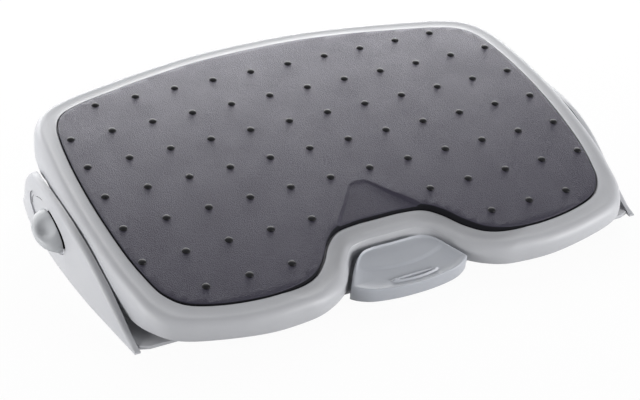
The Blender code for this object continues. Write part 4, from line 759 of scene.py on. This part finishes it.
rounded("pedal_lever", "pedal", zinc, 0.0005)
rounded("pedal_bracket", "platform", zinc, 0.0005)
rounded("pedal_pin", "platform", bright_steel, 0.0003, segments=1)

PIN_BEHIND, SPRING_BEHIND = 0.0175, 0.044
SPRING_PLACE = (0, PEDAL_REAR + PIN_BEHIND + SPRING_BEHIND)
SPRING_LEVELS = (-0.0171, -0.01026)
SPRING_RADIUS = 0.0042
WIRE_RADIUS = 0.0006
SPRING_TURNS = 4.5
# The closed end turns: their share of the wire, and their share of the rise over the whole wire.
END_TURNS, END_RISE = 0.14, 0.10
turns = np.linspace(0, 1, int(SPRING_TURNS * 30) + 1)
rise = END_RISE * turns + (1 - END_RISE) * np.clip((turns - END_TURNS) / (1 - 2 * END_TURNS), 0, 1)
loops = []
for turn, height in zip(turns * SPRING_TURNS * 2 * math.pi, np.interp(rise, (0, 1), SPRING_LEVELS)):
    ring = []
    for around in circle(10):
        out = SPRING_RADIUS + WIRE_RADIUS * math.cos(around)
        ring.append((SPRING_PLACE[0] + out * math.cos(turn), SPRING_PLACE[1] + out * math.sin(turn),
                     height + WIRE_RADIUS * math.sin(around)))
    loops.append(ring)
spring = piece("spring", solid(loops), "platform", spring_steel, "return_spring", place=TILTED, sharp=60)
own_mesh(spring)

# -------- hangers, shaft, drum and pad
# Two eye brackets hang the platform on a cross shaft in nylon bushes. An open clip outside each
# keeps the platform in the middle, and a drum pinned to the shaft is what the pad grips.
nylon = finish("white_nylon", moulded, (0.68, 0.67, 0.64), (0.75, 0.74, 0.71), (1.6, 0.15, 0.40),
               {"Subsurface Weight": 0.08})
for word in ("left", "right"):
    rounded(word + "_hanger", "platform", zinc, 0.0005)
    rounded(word + "_bush", "platform", nylon, 0.0002, segments=1)
    rounded(word + "_retaining_clip", "carriage", spring_steel, 0.00015, segments=1)
rounded("tilt_shaft", "carriage", bright_steel, 0.0002, segments=1)
rounded("brake_drum", "carriage", zinc, 0.0002, limit=50, segments=1)
rounded("drum_pin", "carriage", bright_steel, 0.0002, segments=1)
rounded("brake_pad", "pedal", dark_rubber, 0.0004)

# -------- side arms
# Each arm is a hollow moulding that swells outwards and tapers to the floor at both ends. Its face
# has an oval recess with a slot, in which the height knob slides, and a groove round its top that is
# painted near black as the shade of a gap.
ARM_X = 0.2420
ARM_TALL = 0.062
ARM_HALF = 0.1365
ARM_MIDDLE = -0.00535
ARM_FLOOR = 0.0006
ARM_ROUND = 0.0055
# Places along the arm as shares of its half length, with millimetres out from ARM_X for the outer
# and the inner face, and shares of ARM_TALL for the top.
ARM_PLAN = [
    (-1.000, -3.4), (-0.692, 0.6), (-0.326, 4.8), (0.040, 6.6), (0.333, 6.5), (0.663, 4.6), (0.820, 2.2),
    (1.000, -2.5),
]
ARM_INNER = [
    (-1.00, -8.4), (-0.90, -7.4), (-0.75, -6.8), (-0.60, -5.6), (-0.48, -3.5), (-0.35, -2.2), (-0.20, -0.7),
    (0.00, -0.1), (0.45, 0.0), (0.60, -2.2), (0.74, -4.6), (0.85, -8.0), (1.00, -9.0),
]
ARM_TOP = [
    (-1.000, 0.035), (-0.965, 0.060), (-0.892, 0.130), (-0.815, 0.225), (-0.734, 0.330), (-0.650, 0.440),
    (-0.550, 0.580), (-0.450, 0.705), (-0.350, 0.800), (-0.216, 0.895), (-0.033, 0.965), (0.150, 0.995),
    (0.333, 1.000), (0.443, 0.996), (0.530, 0.982), (0.589, 0.945), (0.642, 0.880), (0.700, 0.780),
    (0.746, 0.680), (0.785, 0.570), (0.820, 0.450), (0.860, 0.330), (0.900, 0.240), (0.950, 0.150),
    (1.000, 0.040),
]
# The top is averaged over these places beside each one, in shares that shrink towards the ends.
TOP_SMOOTHING = (-0.10, -0.05, 0, 0.05, 0.10)
ARM_WALL = 0.0025
# The hollow's two ends as shares, and how far its cutter reaches past the inner face and the floor.
HOLLOW_ENDS = (-0.868, 0.898)
HOLLOW_OVER = (0.010, 0.002)
TRACK_PLACE = (0.03395, 0.031)
TRACK_HALF = (0.048, 0.019)
TRACK_FLOOR_X = ARM_X + 0.0035
TRACK_OUT_X = TRACK_FLOOR_X + 0.02
# How thick the recess's floor and its side are.
TRACK_SKIN = (0.0006, 0.002)
STEM_PLACE = (-0.00255, 0.02933)
# The slot from the knob's stem: its two ends and half height, and from below the floor to above it.
SLOT_ENDS = (-0.0045, 0.0405)
SLOT_HALF = 0.0028
SLOT_DEPTH = (-0.004, 0.002)
# The groove: its depth, its two ovals against the recess's, their shift, and the level of its ends.
GROOVE_DEPTH = 0.0004
GROOVE_GROWTH = (-0.0006, -0.0024)
GROOVE_SHIFT = (0, -0.0014, -0.0030)
GROOVE_LEVEL = TRACK_PLACE[1] - 0.004
TAB_PLACES = (ARM_MIDDLE - ARM_HALF * 0.4374, ARM_MIDDLE + ARM_HALF * 0.7495)
TAB_HALF = 0.007
TAB_INNER_X = 0.2240
TAB_LEVELS = (0.0039, 0.0069)
SIDES = ((-1, "left"), (1, "right"))

# Near black paint that stands in for the shade in the arm's groove and round the knob's neck.
gap_shade_black = finish("painted_gap_shade", moulded, (0.008, 0.008, 0.009), (0.014, 0.014, 0.015), (0.8, 0.2, 0.7),
                    {"Specular IOR Level": 0.1})
arm_bulge = smooth_line(ARM_PLAN, 12)


def arm_loft(side, stations, wall):
    """The arm's sections along its length, `wall` inside its outer face and top."""
    loops = []
    for along in stations:
        y = ARM_MIDDLE + along * ARM_HALF
        outer = ARM_X + read(arm_bulge, along) / 1000 - wall
        inner = ARM_X + read(ARM_INNER, along) / 1000 - (HOLLOW_OVER[0] if wall else 0)
        smooth = np.mean([read(ARM_TOP, along + shift * (1 - abs(along))) for shift in TOP_SMOOTHING])
        top = max(ARM_TALL * smooth - wall, ARM_FLOOR + 0.0003)
        low = -HOLLOW_OVER[1] if wall else ARM_FLOOR
        bend = min(ARM_ROUND - wall, (top - low) * 0.6, (outer - inner) * 0.6)
        section = [(inner, low), (outer, low)]
        for angle in np.linspace(0, math.pi / 2, 9):
            section.append((outer - bend + bend * math.cos(angle), top - bend + bend * math.sin(angle)))
        section.append((inner, top))
        loops.append([(side * x, y, z) for x, z in section])
    return solid(loops)


def track_oval(side, low, high, grow):
    """An oval bar across X at the knob's track."""
    return solid([
        [(side * x, TRACK_PLACE[0] + (TRACK_HALF[0] + grow) * math.cos(a),
          TRACK_PLACE[1] + (TRACK_HALF[1] + grow) * math.sin(a)) for a in circle(96)] for x in (low, high)
    ])


def across_block(side, low, high):
    """A box whose X runs outwards on one side."""
    edges = sorted((side * low[0], side * high[0]))
    return block((edges[0], *low[1:]), (edges[1], *high[1:]))


def in_groove(face):
    """Whether a face lies in the arm's groove."""
    spot = Vector(face.center) - Vector((0, *TRACK_PLACE))
    away = math.hypot(spot.y / TRACK_HALF[0], spot.z / TRACK_HALF[1])
    sunk = -GROOVE_DEPTH - 0.00005 < abs(spot.x) - TRACK_FLOOR_X < -0.00005
    return sunk and 0.70 < away < 0.995


for side, word in SIDES:
    shape = arm_loft(side, np.sin(np.linspace(-math.pi / 2, math.pi / 2, 91)), 0)
    cavity = arm_loft(side, np.linspace(*HOLLOW_ENDS, 60), ARM_WALL)
    cavity = carved(cavity, track_oval(side, TRACK_FLOOR_X - TRACK_SKIN[0], TRACK_OUT_X, TRACK_SKIN[1]))
    slot = across_block(side, *(
        (TRACK_FLOOR_X + x, STEM_PLACE[0] + y, STEM_PLACE[1] + z)
        for x, y, z in zip(SLOT_DEPTH, SLOT_ENDS, (-SLOT_HALF, SLOT_HALF))
    ))
    shape = carved(shape, cavity, track_oval(side, TRACK_FLOOR_X, TRACK_OUT_X, 0), slot)
    below = across_block(side, (TRACK_FLOOR_X - 0.01, -0.05, 0), (TRACK_OUT_X, 0.12, GROOVE_LEVEL))
    groove, inside = (track_oval(side, TRACK_FLOOR_X - deep, TRACK_FLOOR_X + deep, grow)
                      for deep, grow in zip((GROOVE_DEPTH, 0.001), GROOVE_GROWTH))
    for ring in (groove, inside):
        bmesh.ops.translate(ring, verts=ring.verts, vec=GROOVE_SHIFT)
    shape = carved(shape, carved(groove, inside, below))
    tabs = []
    for y in TAB_PLACES:
        outer = ARM_X + read(arm_bulge, (y - ARM_MIDDLE) / ARM_HALF) / 1000 - ARM_WALL / 2
        tab = across_block(side, (TAB_INNER_X, y - TAB_HALF, TAB_LEVELS[0]),
                           (outer, y + TAB_HALF, TAB_LEVELS[1]))
        soften(tab, 0.0004)
        tabs.append(tab)
    shape = carved(shape, *tabs, operation="UNION")
    arm = piece(word + "_arm", shape, "base", shell_grey, word + "_side_arm", sharp=32)
    # The groove's faces are painted near black, as the shade of a gap along the recess's top.
    repaint(arm, gap_shade_black, in_groove)

# -------- slide knobs
# A half dome pushed along the track by the thumb: flat against the recess, rounded outwards, with
# a dished thumb rest on top and a soft border round it.
KNOB_PLACE = (TRACK_FLOOR_X + 0.0003, 0.0125, 0.0345)
KNOB_REACH = 0.0205
KNOB_HALF = 0.0245
# The neck between track and knob: its length, its two rings as shares of that length before the
# dome, and how much less long and high they are.
NECK_LENGTH = 0.0034
NECK_END = KNOB_PLACE[0] + 0.98 * NECK_LENGTH
NECK_RINGS = (-1.0, -0.04)
NECK_INSET = (0.0036, 0.0010)
# Where the dome closes, as a share of the way to its tip.
KNOB_END = 0.985
KNOB_LEAN = math.radians(16)
# Heights over and under the knob's middle line at the neck, and how much of them is lost at the end.
KNOB_TOP = (0.0110, 0.0056)
KNOB_LOW = (0.0115, 0.0070)
# The powers that round it: the top's fall, the height and length outwards, and the outline's two.
TOP_POWER, HEIGHT_POWER, LENGTH_POWER = 1.5, 0.32, 0.8
OUTLINE_POWERS = (0.92, 0.85)
THUMB_PLACE = (0.0112, -0.0035)
THUMB_RADII = (0.0088, 0.0130)
THUMB_DEPTH = 0.0036
STEM_HALF = (0.0042, 0.0025)
STEM_ENDS = (TRACK_FLOOR_X - 0.0047, KNOB_PLACE[0] + 0.002)
knob_grey = finish("knob_plastic", moulded, (0.425, 0.438, 0.455), (0.465, 0.477, 0.494), (0.9, 0.30, 0.42))
for side, word in SIDES:
    loops = []
    for climb in (*NECK_RINGS, *np.linspace(0, 1, 40)):
        angle = max(climb, 0) * math.pi / 2 * KNOB_END
        out = NECK_LENGTH + (KNOB_REACH - NECK_LENGTH) * math.sin(angle)
        share = out / KNOB_REACH
        top = KNOB_TOP[0] - KNOB_TOP[1] * share ** TOP_POWER
        low = -KNOB_LOW[0] + KNOB_LOW[1] * share
        middle, half = (top + low) / 2, (top - low) / 2 * math.cos(angle) ** HEIGHT_POWER
        length = KNOB_HALF * math.cos(angle) ** LENGTH_POWER
        if climb < 0:
            length, half, out = length - NECK_INSET[0], half - NECK_INSET[1], NECK_LENGTH * (1 + climb)
        ring = []
        for turn in circle(72):
            across, over = (np.sign(way) * abs(way) ** power
                            for way, power in zip((math.cos(turn), math.sin(turn)), OUTLINE_POWERS))
            along, up = length * across, middle + half * over
            if over > 0:
                away = math.hypot((out - THUMB_PLACE[0]) / THUMB_RADII[0],
                                  (along - THUMB_PLACE[1]) / THUMB_RADII[1])
                up -= THUMB_DEPTH * lump(away)
            ring.append((
                side * (KNOB_PLACE[0] + out),
                KNOB_PLACE[1] + along * math.cos(KNOB_LEAN) - up * math.sin(KNOB_LEAN),
                KNOB_PLACE[2] + along * math.sin(KNOB_LEAN) + up * math.cos(KNOB_LEAN),
            ))
        loops.append(ring)
    stem = across_block(side, *(
        (x, STEM_PLACE[0] + way * STEM_HALF[0], STEM_PLACE[1] + way * STEM_HALF[1])
        for x, way in zip(STEM_ENDS, (-1, 1))
    ))
    shape = carved(solid(loops), stem, operation="UNION")
    knob = piece(word + "_knob", shape, word + "_slide", knob_grey, word + "_slide_knob", sharp=50)
    # The neck is painted near black, as the shade in the gap between knob and track.
    repaint(knob, gap_shade_black, lambda face: abs(face.center.x) < NECK_END)

# -------- guide posts, blocks and wedges
# Inside each arm a nylon wedge slides with the knob under a lift block, which climbs in the slot of
# a guide post and carries the end of the shaft.
for word in ("left", "right"):
    rounded(word + "_guide_post", "base", nylon, 0.0004)
    rounded(word + "_lift_block", "carriage", nylon, 0.0004)
    rounded(word + "_wedge_slide", word + "_slide", nylon, 0.0004)

# -------- base plate and feet
# A thin floor plate with two hollow cross beams joins the arms. Four rubber discs sit in pockets
# under it.
rounded("base_plate", "base", shell_grey, 0.0007)
for word in ("front_left", "front_right", "rear_left", "rear_right"):
    rounded(word + "_foot", "base", dark_rubber, 0.0004)

# -------- screws
# Every joint between mouldings is a zinc plated socket screw: a rounded cylinder head with a hexagon
# in it, and a coarse thread for plastic.
SCREW_HEAD = 0.0018
SCREW_SOCKET = 0.00125
SOCKET_DEPTH = 0.0011
SCREW_PITCH = 0.0009
SCREW_SHANK = 0.00135
THREAD_ROOT = 0.80
# The plain shank between head and thread, and the tip without thread.
THREAD_ENDS = (0.0005, 0.0012)


def socket_screw(node, body, own=Matrix()):
    """A detailed screw in the place of a CAD one, along Z of its own frame."""
    corners = np.array([own.inverted() @ corner.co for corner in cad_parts[node].data.vertices])
    low, high = corners.min(0), corners.max(0)
    head = (high[0] - low[0]) / 2
    length = high[2] - low[2]
    # Whether the ring is a hexagon, its radius and its height.
    rings = [
        (False, SCREW_SOCKET, SOCKET_DEPTH), (True, SCREW_SOCKET, SOCKET_DEPTH),
        (True, SCREW_SOCKET, 0.00015), (True, SCREW_SOCKET + 0.0001, 0), (False, head - 0.0004, 0),
        (False, head - 0.0001, 0.00012), (False, head, 0.0004), (False, head, SCREW_HEAD - 0.0002),
        (False, head - 0.0002, SCREW_HEAD), (False, SCREW_SHANK, SCREW_HEAD),
    ]
    crest = SCREW_HEAD + THREAD_ENDS[0]
    while crest < length - THREAD_ENDS[1]:
        rings += [(False, SCREW_SHANK, crest), (False, SCREW_SHANK * THREAD_ROOT, crest + SCREW_PITCH / 2)]
        crest += SCREW_PITCH
    rings += [(False, SCREW_SHANK * 0.85, length - 0.0008), (False, SCREW_SHANK * 0.3, length)]
    loops = []
    for hexagon, radius, height in rings:
        ring = []
        for turn in circle(24):
            flat = math.cos((turn + 1e-9) % (math.pi / 3) - math.pi / 6) if hexagon else 1
            ring.append((radius / flat * math.cos(turn), radius / flat * math.sin(turn), height))
        loops.append(ring)
    place = own @ Matrix.Translation((*(low + high)[:2] / 2, low[2]))
    piece(node + "_fine", solid(loops), body, zinc, node, place=place, sharp=35)


for side, word in SIDES:
    for end in ("front", "rear"):
        socket_screw(f"{word}_arm_screw_{end}", "base")
        socket_screw(f"{word}_post_screw_{end}", "base")
        socket_screw(f"{word}_hanger_screw_{end}", "platform", TILTED)
    socket_screw(f"{word}_pedal_bracket_screw", "platform", TILTED)
    socket_screw(f"{word}_pedal_screw", "pedal", TILTED)
    socket_screw(f"{word}_knob_screw", f"{word}_slide", Matrix.Rotation(side * math.pi / 2, 4, "Y"))

# -------- floor, lights and camera
# A plain pale sweep under a soft studio light: two low broad keys from the sides, two banks behind
# that give the mat its sheen and the pedal's lip its line, and a faint even light all round.
FLOOR_WHITE = 0.955
FLOOR_SWEEP = [(-3.0, 0.0), (2.2, 0.0), (2.9, 0.15), (3.3, 0.6), (3.4, 3.5)]
FLOOR_HALF = 5.0


def whitened(tree, plain, target, share):
    """Mix a shader with plain white for what the camera, gloss and glass see."""
    paths = wired(tree, "ShaderNodeLightPath")
    seen = combine(tree, "MAXIMUM", paths["Is Glossy Ray"], paths["Is Transmission Ray"])
    seen = combine(tree, "MAXIMUM", paths["Is Camera Ray"], seen)
    mix = tree.nodes.new("ShaderNodeMixShader")
    feed(tree, combine(tree, "MULTIPLY", seen, share), mix.inputs["Fac"])
    feed(tree, plain, mix.inputs[1])
    feed(tree, wired(tree, "ShaderNodeEmission")["Emission"], mix.inputs[2])
    feed(tree, mix.outputs["Shader"], target)


floor_white = bpy.data.materials.new("floor_white")
floor_white.use_nodes = True
tree = floor_white.node_tree
shader = tree.nodes["Principled BSDF"]
shader.inputs["Base Color"].default_value = (0.86, 0.86, 0.86, 1)
shader.inputs["Roughness"].default_value = 0.9
shader.inputs["Specular IOR Level"].default_value = 0.0
whitened(tree, shader.outputs["BSDF"], tree.nodes["Material Output"].inputs["Surface"], FLOOR_WHITE)
mesh = bpy.data.meshes.new("floor")
corners = [(x, y, z) for y, z in FLOOR_SWEEP for x in (-FLOOR_HALF, FLOOR_HALF)]
mesh.from_pydata(corners, [], [(i, i + 1, i + 3, i + 2) for i in range(0, len(corners) - 2, 2)])
floor = placed("floor", mesh)
mesh.materials.append(floor_white)

world = bpy.data.worlds.new("studio")
bpy.context.scene.world = world
world.use_nodes = True
tree = world.node_tree
plain = tree.nodes["Background"]
plain.inputs["Color"].default_value = (0.97, 0.98, 1.0, 1)
plain.inputs["Strength"].default_value = 0.19
whitened(tree, plain.outputs["Background"], tree.nodes["World Output"].inputs["Surface"], 1.0)


def softbox(name, place, aim, size, power):
    """A rectangular area light aimed at a point."""
    data = bpy.data.lights.new(name, "AREA")
    data.shape = "RECTANGLE"
    data.size, data.size_y = size
    data.energy = power
    lamp = placed(name, data)
    lamp.location = place
    lamp.rotation_euler = (Vector(aim) - Vector(place)).to_track_quat("-Z", "Y").to_euler()


softbox("key_left", (-2.4, 0.10, 0.50), (0, 0, 0.04), (1.6, 0.9), 41)
softbox("key_right", (1.9, -1.9, 0.42), (0, 0, 0.04), (1.4, 0.7), 62)
softbox("bank_behind", (0.25, 1.15, 0.46), (0, 0, 0.06), (2.4, 0.46), 25)
softbox("bank_high", (0.5, 1.20, 1.10), (0, 0, 0.06), (1.4, 0.5), 9)

data = bpy.data.cameras.new("camera")
data.sensor_width = 36
data.lens = 96.371
camera = placed("camera", data)
camera.location = (-0.60780, -1.19133, 0.77689)
camera.rotation_euler = (math.radians(60.03), 0, math.radians(-26.8781))
bpy.context.scene.camera = camera
bpy.context.scene.view_settings.view_transform = "Standard"
